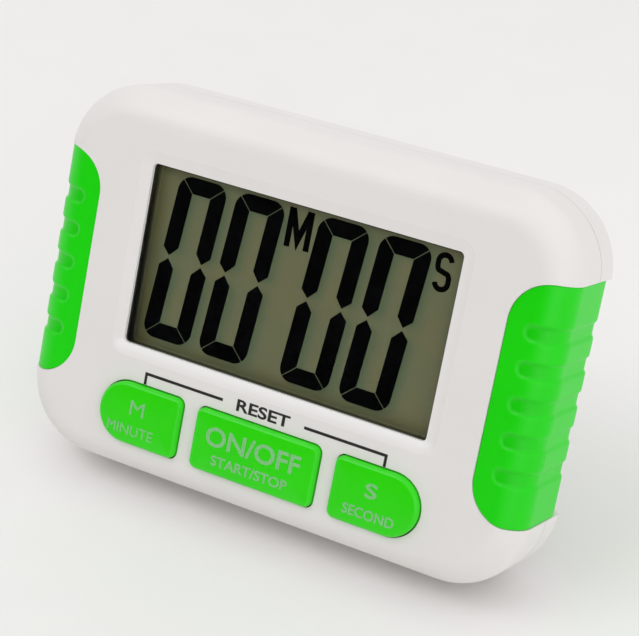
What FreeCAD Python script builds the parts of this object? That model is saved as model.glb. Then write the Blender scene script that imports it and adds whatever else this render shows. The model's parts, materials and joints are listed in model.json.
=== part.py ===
import FreeCAD, Part
import math
import os

# A kitchen countdown timer: white two-part plastic case, large glass number display, three green
# keys on a silicone mat, two green side grips, and behind them the circuit board, sounder, one
# AAA cell with its door, a fold-out stand and two magnets.
#
# Everything is drawn in the frame of the case lying on its back: X to the right, Y up the face,
# Z out of the face, Z = 0 on the back. The finished pieces are then stood up together, leaning
# back on the opened stand, with the origin at the middle of the underside of the whole object.

V = FreeCAD.Vector
ALONG_X = V(1, 0, 0)
ALONG_Z = V(0, 0, 1)

# ---- the case (mm) ----
case_width = 87.0
case_height = 59.5
case_depth = 17.0
corner_radius = 12.0
front_round = 5.0
rear_round = 1.8
least_rear_fillet = 0.4
wall = 2.0
seam_height = 6.2
seam_gap = 0.16
lip_height = 1.3
lip_inset = 1.15
lip_clearance = 0.1
lean_back = 21.5

# ---- side grips ----
grip_face_width = 8.5
grip_length = 36.2
grip_centre_y = 0.2
grip_corner = 6.3
grip_skin = 1.6
grip_set_back = 0.15
grip_rear_round = 4.0
grip_gap = 0.15
grip_outline_gap = 0.1
grip_peg_radius = 1.2
grip_peg_length = 1.7
grip_peg_height = 10.2
grip_peg_offset = 10.0
peg_clearance = 0.08
groove_count = 5
groove_pitch = 5.35
groove_width = 2.8
groove_depth = 0.3
groove_start_inset = 4.3
groove_rear_turn = 40.0

# ---- display ----
window_width = 53.0
window_height = 28.5
window_from_top = 10.5
window_corner = 0.8
window_recess = 1.0
bevel_width = 1.9
bevel_depth = 0.45
lens_border = 1.5
lens_clearance = 0.1
polariser_thickness = 0.2
glass_thickness = 0.7
glass_border = 1.8
glass_top_border = 2.2
contact_ledge = 3.1
rear_glass_overlap = 0.15
reflector_thickness = 0.25
display_air_gap = 0.15
holder_rim = 0.9
holder_clearance = 0.1
holder_back = 0.6
rubber_strip_width = 2.0
rubber_strip_end_margin = 3.3
rubber_strip_wall = 0.95
strip_clearance = 0.05

# ---- keys and keypad ----
key_height = 9.7
key_from_bottom = 10.0
side_key_inner_x = 13.6
side_key_outer_x = 28.1
centre_key_half_width = 10.75
key_small_corner = 1.2
key_proud = 1.2
key_clearance = 0.2
key_flange = 0.6
key_flange_gap = 0.25
key_flange_thickness = 0.9
key_edge_round = 0.6
key_travel = 0.8
mat_thickness = 1.0
mat_side_margin = 1.1
mat_top_margin = 1.2
mat_bottom_margin = 1.3
mat_corner = 1.0
dome_foot_radius = 3.7
dome_hollow_radius = 3.0
plunger_radius = 2.2
pill_radius = 1.6
pill_thickness = 0.4
dome_web_height = 1.0

# ---- circuit board ----
board_top_margin = 1.85
board_bottom_gap = 1.15
board_side_gap = 0.3
board_thickness = 1.2
board_depth = 5.8
board_screw_from_side = 1.8
board_screw_from_top = 4.1
board_screw_from_bottom = 2.3
board_post_radius = 1.5
board_screw_radius = 0.75
board_screw_length = 3.6
board_screw_head_radius = 1.5
board_screw_head = 1.0
board_hole_clearance = 0.15
board_hole_spare = 0.3
board_corner = 1.0
blob_x = -10.5
blob_y = -17.5
blob_radius = 4.6
blob_height = 1.5
crystal_x = 1.0
crystal_y = -23.0
crystal_radius = 1.0
crystal_length = 6.0
coil_x = 14.0
coil_y = -19.0
coil_radius = 2.5
coil_height = 3.2
coil_flange = 0.6
coil_winding_depth = 0.35
capacitor_count = 3
capacitor_x = -22.0
capacitor_y = -13.5
capacitor_pitch = 3.0
capacitor_size = (2.0, 1.25, 0.9)
resistor_count = 5
resistor_x = -24.5
resistor_y = -21.5
resistor_pitch = 2.4
resistor_size = (1.6, 0.8, 0.5)
transistor_x = 20.0
transistor_y = -17.0
transistor_size = (2.9, 1.3, 1.0)
transistor_leg_pitch = 1.9
transistor_leg = (0.4, 1.1, 0.3)

# ---- case screws ----
case_screw_from_side = 7.5
case_screw_from_end = 6.95
case_boss_radius = 2.9
case_screw_radius = 0.95
case_screw_length = 8.5
case_screw_head_radius = 1.9
case_screw_head = 1.3
screw_seat = 3.2
screw_recess_radius = 2.2
thread_clearance = 0.05
screw_hole_spare = 1.0
cross_arm_share = 0.58
cross_half_width = 0.22
cross_depth = 0.6

# ---- cell, contacts and door ----
cell_radius = 5.25
cell_length = 44.5
cell_button_length = 0.8
cell_button_radius = 1.9
cell_rim_round = 0.4
cell_from_top = 12.75
cell_above_door = 0.35
spring_room = 4.3
bay_side_gap = 0.35
bay_wall = 1.0
bay_top_gap = 0.6
contact_plate = 0.4
contact_half_width = 4.0
contact_half_height = 4.3
tab_half_width = 1.5
tab_clearance = 0.1
tab_rise = 2.0
tab_length = 3.6
spring_wire = 0.3
spring_turns = 3.0
spring_front_radius = 2.0
spring_back_radius = 3.4
door_margin = 1.2
door_side_margin = 0.6
door_thickness = 1.4
door_recess = 1.5
door_gap = 0.15
door_frame = 1.4
door_pin_radius = 0.45
door_pin_length = 0.9
door_corner = 1.5
door_rib_count = 3
door_rib_pitch = 1.1
door_rib_radius = 0.35
door_rib_length = 8.0
door_rib_from_top = 1.4
snap_rib_length = 12.0
snap_rib_radius = 0.3
snap_rib_proud = 0.1
nail_notch_radius = 1.3
nail_notch_length = 9.0

# ---- stand ----
stand_width = 26.6
stand_side_gap = 0.2
stand_thickness = 1.8
stand_skin_gap = 0.1
stand_hinge_below_door = 4.2
stand_tip_gap = 1.55
stand_recess_depth = 2.15
stand_end_gap = 0.35
pin_radius = 0.8
pin_length = 1.1
pin_clearance = 0.05
pin_boss_width = 2.4
pin_boss_half_height = 2.6
stand_bed_wall = 1.4
bed_floor_wall = 1.3
stand_panel_border = 4.0
stand_panel_top = -2.0
stand_panel_bottom = -19.0
stand_panel_corner = 2.5
stand_panel_depth = 0.5
stand_rib_count = 4
stand_rib_pitch = 1.2
stand_rib_radius = 0.4
stand_rib_half_length = 6.0
stand_rib_from_tip = 2.2

# ---- magnets ----
magnet_radius = 6.0
magnet_thickness = 2.0
magnet_from_stand = 12.5
magnet_y = -8.0
magnet_clearance = 0.1

# ---- sounder ----
sounder_y = -9.0
sounder_radius = 9.9
sounder_plate = 0.2
ceramic_radius = 7.0
ceramic_thickness = 0.25
sounder_ring_height = 1.0
sounder_ring_width = 1.6
sounder_ring_margin = 0.5
sound_hole_radius = 0.6
sound_hole_ring = 3.2

# ---- wires ----
wire_radius = 0.5
wire_bend = 1.2
supply_wire_drop = 1.8
supply_pad_from_edge = 2.2
tab_joint_from_end = 1.1
sounder_wire_drop = 2.1
sounder_pad_from_edge = 4.6
ceramic_joint = (3.0, -2.8)
plate_joint = (-8.0, -4.6)
joint_radius = 0.9
joint_height = 0.6

half_height = case_height / 2
face_z = case_depth
inner_front_z = case_depth - wall
seam_low = seam_height - seam_gap / 2
seam_high = seam_height + seam_gap / 2
grip_seat = grip_set_back + grip_skin + grip_gap
grip_front_edge = case_width / 2 - grip_face_width
grip_top = grip_centre_y + grip_length / 2
grip_bottom = grip_centre_y - grip_length / 2
groove_start = grip_front_edge + groove_start_inset
lens_back_z = inner_front_z
lens_front_z = face_z - window_recess
polariser_front_z = lens_back_z - display_air_gap
front_glass_top_z = polariser_front_z - polariser_thickness
front_glass_back_z = front_glass_top_z - glass_thickness
rear_glass_back_z = front_glass_back_z - glass_thickness
reflector_back_z = rear_glass_back_z - reflector_thickness
holder_back_z = reflector_back_z - holder_back
window_left = -window_width / 2
window_top = half_height - window_from_top
window_bottom = window_top - window_height
glass_half_width = window_width / 2 + glass_border
glass_top = window_top + glass_top_border
front_glass_bottom = window_bottom - contact_ledge
rear_glass_bottom = window_bottom - rear_glass_overlap
holder_half_width = glass_half_width + holder_clearance + holder_rim
strip_centre_y = (front_glass_bottom + rear_glass_bottom) / 2
strip_half_length = glass_half_width - rubber_strip_end_margin
board_front = case_depth - board_depth
board_back = board_front - board_thickness
mat_front = board_front + mat_thickness
key_back = inner_front_z - key_flange_gap - key_flange_thickness
key_front = face_z + key_proud
key_centre_y = key_from_bottom - half_height
key_bottom = key_centre_y - key_height / 2
key_top = key_centre_y + key_height / 2
side_key_centre_x = (side_key_inner_x + side_key_outer_x) / 2
mat_half_width = side_key_outer_x + mat_side_margin
mat_top_y = key_top + mat_top_margin
mat_bottom_y = key_bottom - mat_bottom_margin
case_screw_x = case_width / 2 - case_screw_from_side
case_screw_y = half_height - case_screw_from_end
board_half_width = case_screw_x - case_boss_radius - board_side_gap
board_top_y = window_bottom + board_top_margin
board_bottom_y = board_bottom_gap + wall - half_height
board_screw_x = board_half_width - board_screw_from_side
board_screw_heights = (board_top_y - board_screw_from_top, board_bottom_y + board_screw_from_bottom)
cell_centre_y = half_height - cell_from_top
cell_centre_z = door_thickness + cell_above_door + cell_radius
bay_half_length = (cell_length + spring_room) / 2 + contact_plate
bay_half_height = cell_radius + bay_side_gap
bay_top = holder_back_z - bay_top_gap
bay_bottom = cell_centre_y - bay_half_height
bay_roof = cell_centre_y + bay_half_height
contact_low = cell_centre_z - contact_half_height
contact_high = cell_centre_z + contact_half_height
tab_z = cell_centre_z + tab_rise
tab_end = bay_half_length + tab_length
supply_wire_z = tab_z - joint_height - supply_wire_drop
sounder_wire_z = board_back - sounder_wire_drop
door_bottom = bay_bottom - door_margin
door_top = bay_roof + door_margin
door_half_width = bay_half_length + bay_wall + door_side_margin
door_axis_y = door_bottom + door_gap + door_thickness / 2
door_axis_z = door_thickness / 2
stand_hinge_y = door_bottom - stand_hinge_below_door
stand_tip_y = stand_tip_gap - half_height
stand_axis_z = stand_skin_gap + stand_thickness / 2
stand_bed_top = stand_hinge_y + stand_thickness / 2 + stand_end_gap
inner_floor = stand_recess_depth + bed_floor_wall
magnet_x = stand_width / 2 + stand_side_gap + magnet_from_stand


# ---- small builders ----
def box(x0, x1, y0, y1, z0, z1):
    """A plain block between three pairs of limits."""
    return Part.makeBox(x1 - x0, y1 - y0, z1 - z0, V(x0, y0, z0))


def post(radius, x, y, z0, z1):
    """A round bar standing along Z between two heights."""
    return Part.makeCylinder(radius, z1 - z0, V(x, y, z0))


def rod(radius, x0, x1, y, z):
    """A round bar lying along X."""
    return Part.makeCylinder(radius, x1 - x0, V(x0, y, z), ALONG_X)


def mirrored(shape):
    """The same shape on the other side of the middle plane."""
    return shape.mirror(V(0, 0, 0), ALONG_X)


def outline(x0, x1, y0, y1, z, radii):
    """Four straight sides joined by arcs, radii given lower left, lower right, upper right,
    upper left; a side that the arcs use up completely is left out."""
    corners = ((x0, y0, 1, 1), (x1, y0, -1, 1), (x1, y1, -1, -1), (x0, y1, 1, -1))
    arcs = []
    for number, (x, y, step_x, step_y) in enumerate(corners):
        radius = radii[number]
        centre = V(x + step_x * radius, y + step_y * radius, z)
        start = 180 + 90 * number
        arcs.append(Part.makeCircle(radius, centre, ALONG_Z, start, start + 90))
    edges = []
    for number, arc in enumerate(arcs):
        edges.append(arc)
        end = arc.valueAt(arc.LastParameter)
        following = arcs[(number + 1) % 4]
        start = following.valueAt(following.FirstParameter)
        if end.distanceToPoint(start) > 1e-6:
            edges.append(Part.makeLine(end, start))
    return Part.Wire(edges)


def plate(x0, x1, y0, y1, z0, z1, radii):
    """A flat plate with rounded corners between two heights."""
    face = Part.Face(outline(x0, x1, y0, y1, z0, radii))
    return face.extrude(V(0, 0, z1 - z0))


def edges_at_height(shape, z):
    """Every edge of the shape that lies flat at one height."""
    return [e for e in shape.Edges if all(abs(v.Z - z) < 1e-4 for v in e.Vertexes)]


def case_block(inset, rear=rear_round):
    """The outer form of the closed case, shrunk all round by the inset (grown when negative)."""
    half_width = case_width / 2 - inset
    half_height = case_height / 2 - inset
    top = case_depth - inset
    radii = [corner_radius - inset] * 4
    block = plate(-half_width, half_width, -half_height, half_height, inset, top, radii)
    block = block.makeFillet(front_round - inset, edges_at_height(block, top))
    rear_fillet = max(rear - inset, least_rear_fillet)
    return block.makeFillet(rear_fillet, edges_at_height(block, inset))


def grip_prism(extra):
    """The right grip's outline as seen from the front, grown by a clearance, through the case."""
    radii = (grip_corner + extra, wall, wall, grip_corner + extra)
    return plate(grip_front_edge - extra, case_width, grip_bottom - extra, grip_top + extra,
                 -wall, case_depth + wall, radii)


def grip_rebates():
    """What both grips and their pegs take out of the case walls."""
    ring = case_block(-wall).cut(case_block(grip_seat, grip_rear_round))
    rebate = ring.common(grip_prism(grip_outline_gap))
    for peg in grip_pegs(peg_clearance, grip_seat + 2 * wall):
        rebate = rebate.fuse(peg)
    return rebate, mirrored(rebate)


def grip_pegs(clearance, depth):
    """The locating pegs of the right grip, reaching inward from the side to a given depth."""
    middle = (grip_top + grip_bottom) / 2
    outer = case_width / 2 - grip_skin / 2
    inner = case_width / 2 - depth
    return [rod(grip_peg_radius + clearance, inner, outer, middle + side * grip_peg_offset,
                grip_peg_height) for side in (-1, 1)]


def cavity():
    """The hollow of the closed case, drawn in behind the grips so the walls stay whole."""
    hollow = case_block(wall)
    zone = box(grip_front_edge - wall, case_width, grip_bottom - wall, grip_top + wall,
               -wall, case_depth + wall)
    step = zone.cut(case_block(wall + grip_seat, grip_rear_round))
    return hollow.cut(step).cut(mirrored(step))


def four_corners(x, y):
    """The four positions of a pattern symmetric about the middle of the case."""
    return [(sx * x, sy * y) for sx in (-1, 1) for sy in (-1, 1)]


def board_screw_places():
    """Centres of the screws that hold the circuit board."""
    return [(side * board_screw_x, y) for side in (-1, 1) for y in board_screw_heights]


# ---- keys ----
def key_plate(name, extra, z0, z1):
    """The outline of one key, grown all round by a margin, between two heights."""
    end = key_height / 2 + extra
    small = key_small_corner + extra
    y0 = key_bottom - extra
    y1 = key_top + extra
    if name == "start_stop_key":
        x = centre_key_half_width + extra
        return plate(-x, x, y0, y1, z0, z1, [small] * 4)
    inner = side_key_inner_x - extra
    outer = side_key_outer_x + extra
    body = plate(inner, outer, y0, y1, z0, z1, (small, end, end, small))
    return mirrored(body) if name == "minute_key" else body


def key(name):
    """A key cap with rounded top edge and the flange that keeps it behind the front wall."""
    cap = key_plate(name, 0.0, key_back, key_front)
    cap = cap.makeFillet(key_edge_round, edges_at_height(cap, key_front))
    return cap.fuse(key_plate(name, key_flange, key_back, key_back + key_flange_thickness))


def key_centre_x(name):
    """Where the key's plunger stands along X."""
    return {"minute_key": -side_key_centre_x, "start_stop_key": 0.0,
            "second_key": side_key_centre_x}[name]


KEYS = ("minute_key", "start_stop_key", "second_key")


def contact_pill(name):
    """The carbon disc under one key's dome."""
    z0 = board_front + key_travel
    return post(pill_radius, key_centre_x(name), key_centre_y, z0, z0 + pill_thickness)


def keypad_mat():
    """One silicone sheet with a hollow dome and a plunger under each key."""
    mat = plate(-mat_half_width, mat_half_width, mat_bottom_y, mat_top_y, board_front, mat_front,
                [mat_corner] * 4)
    web_top = mat_front + dome_web_height
    pill_top = board_front + key_travel + pill_thickness
    for name in KEYS:
        centre = V(key_centre_x(name), key_centre_y, mat_front)
        mat = mat.fuse(Part.makeCone(dome_foot_radius, plunger_radius, web_top - mat_front, centre))
        mat = mat.fuse(post(plunger_radius, centre.x, centre.y, web_top, key_back))
    for name in KEYS:
        hollow = post(dome_hollow_radius, key_centre_x(name), key_centre_y,
                      board_front, pill_top)
        mat = mat.cut(hollow)
    return mat


# ---- case halves ----
def window_cut():
    """The display opening: sloping surround, straight sides, and the seat for the clear lens."""
    half = window_width / 2
    through = plate(-half, half, window_bottom, window_top, inner_front_z - wall, case_depth + wall,
                    [window_corner] * 4)
    low = outline(-half, half, window_bottom, window_top, face_z - bevel_depth, [window_corner] * 4)
    wide = bevel_width
    high = outline(-half - wide, half + wide, window_bottom - wide, window_top + wide,
                   face_z, [window_corner + wide] * 4)
    surround = Part.makeLoft([low, high], True, True)
    seat = lens_plate(lens_clearance, inner_front_z - wall, lens_front_z)
    return through.fuse(surround).fuse(seat)


def lens_plate(extra, z0, z1):
    """The lens outline, grown by a clearance, between two heights."""
    grow = lens_border + extra
    return plate(window_left - grow, -window_left + grow, window_bottom - grow, window_top + grow,
                 z0, z1, [window_corner + grow] * 4)


def front_case():
    """Front shell with window, key openings, screw bosses, board posts and grip rebates."""
    shell = case_block(0.0).cut(cavity())
    shell = shell.common(box(-case_width, case_width, -case_height, case_height,
                             seam_high, case_depth + wall))
    lip_top = seam_high + lip_height
    lip_room = case_block(lip_inset - lip_clearance)
    lip_room = lip_room.common(box(-case_width, case_width, -case_height, case_height,
                                   seam_low, lip_top + lip_clearance))
    for prism in (grip_prism(wall), mirrored(grip_prism(wall))):
        lip_room = lip_room.cut(prism)
    shell = shell.cut(lip_room)
    room = case_block(wall / 2)
    for x, y in four_corners(case_screw_x, case_screw_y):
        shell = shell.fuse(post(case_boss_radius, x, y, seam_high, inner_front_z + 0.5).common(room))
    for x, y in board_screw_places():
        shell = shell.fuse(post(board_post_radius, x, y, board_front, inner_front_z + 0.5))
    shell = shell.cut(window_cut())
    for name in KEYS:
        shell = shell.cut(key_plate(name, key_clearance, inner_front_z - wall, case_depth + wall))
    for x, y in four_corners(case_screw_x, case_screw_y):
        shell = shell.cut(post(case_screw_radius + thread_clearance, x, y, seam_low,
                               screw_seat + case_screw_length + screw_hole_spare))
    for x, y in board_screw_places():
        shell = shell.cut(post(board_screw_radius + thread_clearance, x, y, board_back,
                               board_back + board_screw_length + board_hole_spare))
    for rebate in grip_rebates():
        shell = shell.cut(rebate)
    return shell


def rear_lip():
    """The thin rim that stands up from the rear shell inside the front shell's edge."""
    lip = case_block(lip_inset).cut(case_block(wall))
    lip = lip.common(box(-case_width, case_width, -case_height, case_height,
                         seam_low - wall, seam_high + lip_height))
    for prism in (grip_prism(wall), mirrored(grip_prism(wall))):
        lip = lip.cut(prism)
    for x, y in four_corners(case_screw_x, case_screw_y):
        lip = lip.cut(post(case_boss_radius + lip_clearance, x, y, seam_low, case_depth))
    return lip


def stand_recess():
    """The shallow bed the folded stand lies in, open at the lower edge, and its pin holes."""
    half = stand_width / 2 + stand_side_gap
    bed = box(-half, half, -case_height, stand_bed_top, -wall, stand_recess_depth)
    reach = half + pin_length
    holes = rod(pin_radius + pin_clearance, -reach, reach, stand_hinge_y, stand_axis_z)
    return bed.fuse(holes)


def rear_floor_pads():
    """Thicker places of the rear wall: under the stand bed, at its pins, round the door."""
    bed = stand_width / 2 + stand_side_gap
    half = bed + stand_bed_wall
    pins = bed + pin_boss_width
    low = wall / 2
    top = stand_bed_top + bed_floor_wall
    pads = box(-half, half, -case_height / 2, top, low, inner_floor)
    pads = pads.fuse(box(-pins, pins, stand_hinge_y - pin_boss_half_height, top, low, inner_floor))
    door_side = door_half_width + door_frame
    pads = pads.fuse(box(-door_side, door_side, door_bottom - door_frame, door_top + door_frame,
                         low, door_recess + bed_floor_wall))
    for side in (-1, 1):
        pads = pads.fuse(post(magnet_radius + magnet_clearance + bed_floor_wall, side * magnet_x,
                              magnet_y, low, magnet_thickness + bed_floor_wall))
    return pads


def cell_bay():
    """The block that the trough for the cell is cut from, standing on the rear wall."""
    return box(-bay_half_length - bay_wall, bay_half_length + bay_wall, bay_bottom - bay_wall,
               bay_roof + bay_wall, wall / 2, bay_top)


def bay_hollow():
    """The inside of the trough, open through the rear wall, with slots for the contact tabs."""
    hollow = box(-bay_half_length, bay_half_length, bay_bottom, bay_roof, -wall, bay_top + wall)
    reach = bay_half_length + 1.5 * bay_wall
    tab = box(-reach, reach, cell_centre_y - tab_half_width - tab_clearance,
              cell_centre_y + tab_half_width + tab_clearance, tab_z - tab_clearance, bay_top + wall)
    return hollow.fuse(tab)


def door_panel(gap, low, z0, z1):
    """The door's outline, shrunk by a gap, from a lower limit up, between two heights."""
    return plate(-door_half_width + gap, door_half_width - gap, low, door_top - gap,
                 z0, z1, (0.1, 0.1, door_corner, door_corner))


def sounder_ring():
    """The raised ring the sounder plate is glued to."""
    low = wall
    high = inner_floor + sounder_ring_height
    ring = post(sounder_radius + sounder_ring_margin, 0, sounder_y, low, high)
    return ring.cut(post(sounder_radius - sounder_ring_width, 0, sounder_y, low, high))


def sound_holes():
    """Five small holes that let the alarm out through the bed of the stand."""
    holes = [post(sound_hole_radius, 0, sounder_y, 0, inner_floor + wall)]
    for number in range(4):
        angle = math.radians(45 + 90 * number)
        x = sound_hole_ring * math.cos(angle)
        y = sounder_y + sound_hole_ring * math.sin(angle)
        holes.append(post(sound_hole_radius, x, y, 0, inner_floor + wall))
    return holes


def door_pins(extra):
    """The bar through the door's lower edge that carries it, with its ends in the rear shell."""
    reach = door_half_width - door_gap + door_pin_length + extra
    return rod(door_pin_radius + extra, -reach, reach, door_axis_y, door_axis_z)



def rear_case():
    """Rear shell: back wall, cell trough, door opening, stand bed, magnet pockets, bosses."""
    shell = case_block(0.0).cut(cavity())
    shell = shell.common(box(-case_width, case_width, -case_height, case_height,
                             -wall, seam_low))
    shell = shell.fuse(rear_floor_pads().common(case_block(wall / 2)))
    shell = shell.fuse(rear_lip())
    room = case_block(wall / 2)
    for x, y in four_corners(case_screw_x, case_screw_y):
        shell = shell.fuse(post(case_boss_radius, x, y, wall / 2, seam_high).common(room))
    shell = shell.fuse(cell_bay())
    shell = shell.fuse(sounder_ring())
    cuts = [bay_hollow(), door_panel(0.0, door_bottom, -wall, door_recess), stand_recess()]
    cuts += sound_holes()
    cuts.append(door_pins(pin_clearance))
    cuts.append(rod(nail_notch_radius, -nail_notch_length / 2, nail_notch_length / 2, door_top,
                    -nail_notch_radius / 3))
    for side in (-1, 1):
        cuts.append(post(magnet_radius + magnet_clearance, side * magnet_x, magnet_y, -wall,
                         magnet_thickness))
    for x, y in four_corners(case_screw_x, case_screw_y):
        cuts.append(post(screw_recess_radius, x, y, -wall, screw_seat))
        cuts.append(post(case_screw_radius + thread_clearance, x, y, 0, case_depth))
    cuts += grip_rebates()
    for cut in cuts:
        shell = shell.cut(cut)
    return shell


# ---- side grips ----
def groove():
    """One finger groove: a round bar swept across the edge of the case, rounded at its start."""
    bar_radius = (groove_width ** 2 / 4 + groove_depth ** 2) / (2 * groove_depth)
    out = bar_radius - groove_depth - grip_set_back
    front = V(case_width / 2 - front_round, 0, case_depth - front_round)
    back = V(case_width / 2 - grip_rear_round, 0, grip_rear_round)
    swing = front_round + out
    begin = math.asin((groove_start - front.x) / swing)
    start = front + V(swing * math.sin(begin), 0, swing * math.cos(begin))
    middle_angle = (begin + math.pi / 2) / 2
    middle = front + V(swing * math.sin(middle_angle), 0, swing * math.cos(middle_angle))
    corner = front + V(swing, 0, 0)
    reach = grip_rear_round + out
    low = back + V(reach, 0, 0)
    turn = math.radians(groove_rear_turn)
    rear_middle = back + V(reach * math.cos(turn / 2), 0, -reach * math.sin(turn / 2))
    end = back + V(reach * math.cos(turn), 0, -reach * math.sin(turn))
    path = Part.Wire([Part.Arc(start, middle, corner).toShape(), Part.makeLine(corner, low),
                      Part.Arc(low, rear_middle, end).toShape()])
    heading = V(math.cos(begin), 0, -math.sin(begin))
    section = Part.Wire([Part.makeCircle(bar_radius, start, heading)])
    bar = path.makePipeShell([section], True, False)
    return bar.fuse(Part.makeSphere(bar_radius, start)).fuse(Part.makeSphere(bar_radius, end))


def right_grip():
    """The green side piece wrapped round the case edge, with five grooves and two pegs."""
    shell = case_block(grip_set_back, grip_rear_round)
    shell = shell.cut(case_block(grip_seat - grip_gap, grip_rear_round))
    shell = shell.common(grip_prism(0.0))
    middle = (grip_top + grip_bottom) / 2
    cutter = groove()
    for number in range(groove_count):
        shift = middle + (number - (groove_count - 1) / 2) * groove_pitch
        moved = cutter.copy()
        moved.translate(V(0, shift, 0))
        shell = shell.cut(moved)
    for peg in grip_pegs(0.0, grip_seat + grip_peg_length):
        shell = shell.fuse(peg)
    return shell


# ---- display stack ----
def glass_sheet(bottom, z0, z1):
    """A rectangular sheet of the display stack between two heights."""
    return box(-glass_half_width, glass_half_width, bottom, glass_top, z0, z1)


def display_holder():
    """The white tray that carries the glass and presses the rubber contact strip."""
    low = strip_centre_y - rubber_strip_width / 2 - rubber_strip_wall
    top = glass_top + holder_clearance + holder_rim
    half = holder_half_width
    tray = box(-half, half, low, top, holder_back_z, inner_front_z)
    tray = tray.fuse(box(-half, half, low, rear_glass_bottom + holder_back, board_front,
                         inner_front_z))
    inner = glass_half_width + holder_clearance
    front_bottom = front_glass_bottom - holder_clearance
    glass_room = box(-inner, inner, rear_glass_bottom - holder_clearance, glass_top + holder_clearance,
                     reflector_back_z, case_depth)
    ledge_room = box(-inner, inner, front_bottom, glass_top + holder_clearance,
                     front_glass_back_z, case_depth)
    strip_half = strip_half_length + strip_clearance
    strip_side = rubber_strip_width / 2 + strip_clearance
    strip_room = box(-strip_half, strip_half, strip_centre_y - strip_side,
                     strip_centre_y + strip_side, 0, case_depth)
    return tray.cut(glass_room).cut(ledge_room).cut(strip_room)


# ---- circuit board parts ----
def circuit_board():
    """The board, with clearance holes for its four screws."""
    board = plate(-board_half_width, board_half_width, board_bottom_y, board_top_y,
                  board_back, board_front, [board_corner] * 4)
    for x, y in board_screw_places():
        board = board.cut(post(board_screw_radius + board_hole_clearance, x, y, 0, case_depth))
    return board


def controller_blob():
    """The black resin drop over the controller chip."""
    sphere_radius = (blob_radius ** 2 + blob_height ** 2) / (2 * blob_height)
    centre = V(blob_x, blob_y, board_back - blob_height + sphere_radius)
    ball = Part.makeSphere(sphere_radius, centre)
    return ball.common(box(-case_width, 0, -case_height, case_height, 0, board_back))


def crystal():
    """The timing crystal: a small metal can lying on the board, with its foot and its leads."""
    end = crystal_x + crystal_length
    half = crystal_radius / 2
    can = rod(crystal_radius, crystal_x, end, crystal_y, board_back - crystal_radius)
    foot = box(crystal_x, end, crystal_y - half, crystal_y + half, board_back - crystal_radius,
               board_back)
    leads = box(crystal_x - 1.6, crystal_x + 0.2, crystal_y - 0.7, crystal_y + 0.7,
                board_back - half, board_back)
    return can.fuse(foot).fuse(leads)


def chip_row(count, x, y, pitch, size):
    """A row of small block-shaped parts on the back of the board."""
    length, width, height = size
    chips = []
    for number in range(count):
        middle = x + pitch * number
        chips.append(box(middle - length / 2, middle + length / 2, y - width / 2, y + width / 2,
                         board_back - height, board_back))
    return Part.makeCompound(chips)


def transistor():
    """The small three-legged switch that drives the sounder."""
    length, width, height = transistor_size
    leg_width, leg_length, leg_height = transistor_leg
    body = box(transistor_x - length / 2, transistor_x + length / 2, transistor_y - width / 2,
               transistor_y + width / 2, board_back - height - 0.1, board_back - 0.1)
    side = transistor_leg_pitch / 2
    reach = (width + leg_length) / 2 - 0.1
    for x, y in ((-side, -reach), (side, -reach), (0, reach)):
        body = body.fuse(box(transistor_x + x - leg_width / 2, transistor_x + x + leg_width / 2,
                             transistor_y + y - leg_length / 2, transistor_y + y + leg_length / 2,
                             board_back - leg_height, board_back))
    return body


def sounder_coil():
    """The wound drum that raises the voltage for the sounder."""
    low = board_back - coil_height
    drum = post(coil_radius, coil_x, coil_y, low, board_back)
    winding = post(coil_radius + 1, coil_x, coil_y, low + coil_flange, board_back - coil_flange)
    core = post(coil_radius - coil_winding_depth, coil_x, coil_y, low, board_back)
    return drum.cut(winding.cut(core))


# ---- fasteners ----
def case_screw(x, y):
    """A pan-head screw put in from the back."""
    head = post(case_screw_head_radius, x, y, screw_seat - case_screw_head, screw_seat)
    shank = post(case_screw_radius, x, y, screw_seat, screw_seat + case_screw_length)
    return cross_recess(head.fuse(shank), x, y, screw_seat - case_screw_head,
                        case_screw_head_radius * cross_arm_share)


def board_screw(x, y):
    """A small pan-head screw through the board into a post."""
    head = post(board_screw_head_radius, x, y, board_back - board_screw_head, board_back)
    shank = post(board_screw_radius, x, y, board_back, board_back + board_screw_length)
    return cross_recess(head.fuse(shank), x, y, board_back - board_screw_head,
                        board_screw_head_radius * cross_arm_share)


def cross_recess(screw, x, y, z, arm):
    """Cuts the driver cross into the head face at height z."""
    width = cross_half_width
    screw = screw.cut(box(x - arm, x + arm, y - width, y + width, z, z + cross_depth))
    return screw.cut(box(x - width, x + width, y - arm, y + arm, z, z + cross_depth))


# ---- cell, contacts, door ----
def cell():
    """The AAA cell lying along X with its button to the right."""
    button_end = bay_half_length - contact_plate
    body_end = button_end - cell_button_length
    body = rod(cell_radius, button_end - cell_length, body_end, cell_centre_y, cell_centre_z)
    rims = [e for e in body.Edges if len(e.Vertexes) == 1]
    body = body.makeFillet(cell_rim_round, rims)
    return body.fuse(rod(cell_button_radius, body_end - 1.0, button_end, cell_centre_y,
                         cell_centre_z))


def contact(side):
    """A flat end contact with the tab that passes out of the trough; side +1 right, -1 left."""
    flat = box(bay_half_length - contact_plate, bay_half_length,
               cell_centre_y - contact_half_width, cell_centre_y + contact_half_width,
               contact_low, contact_high)
    tab = box(bay_half_length - contact_plate, tab_end, cell_centre_y - tab_half_width,
              cell_centre_y + tab_half_width, tab_z, tab_z + contact_plate)
    piece = flat.fuse(tab)
    return piece if side > 0 else mirrored(piece)


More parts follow.
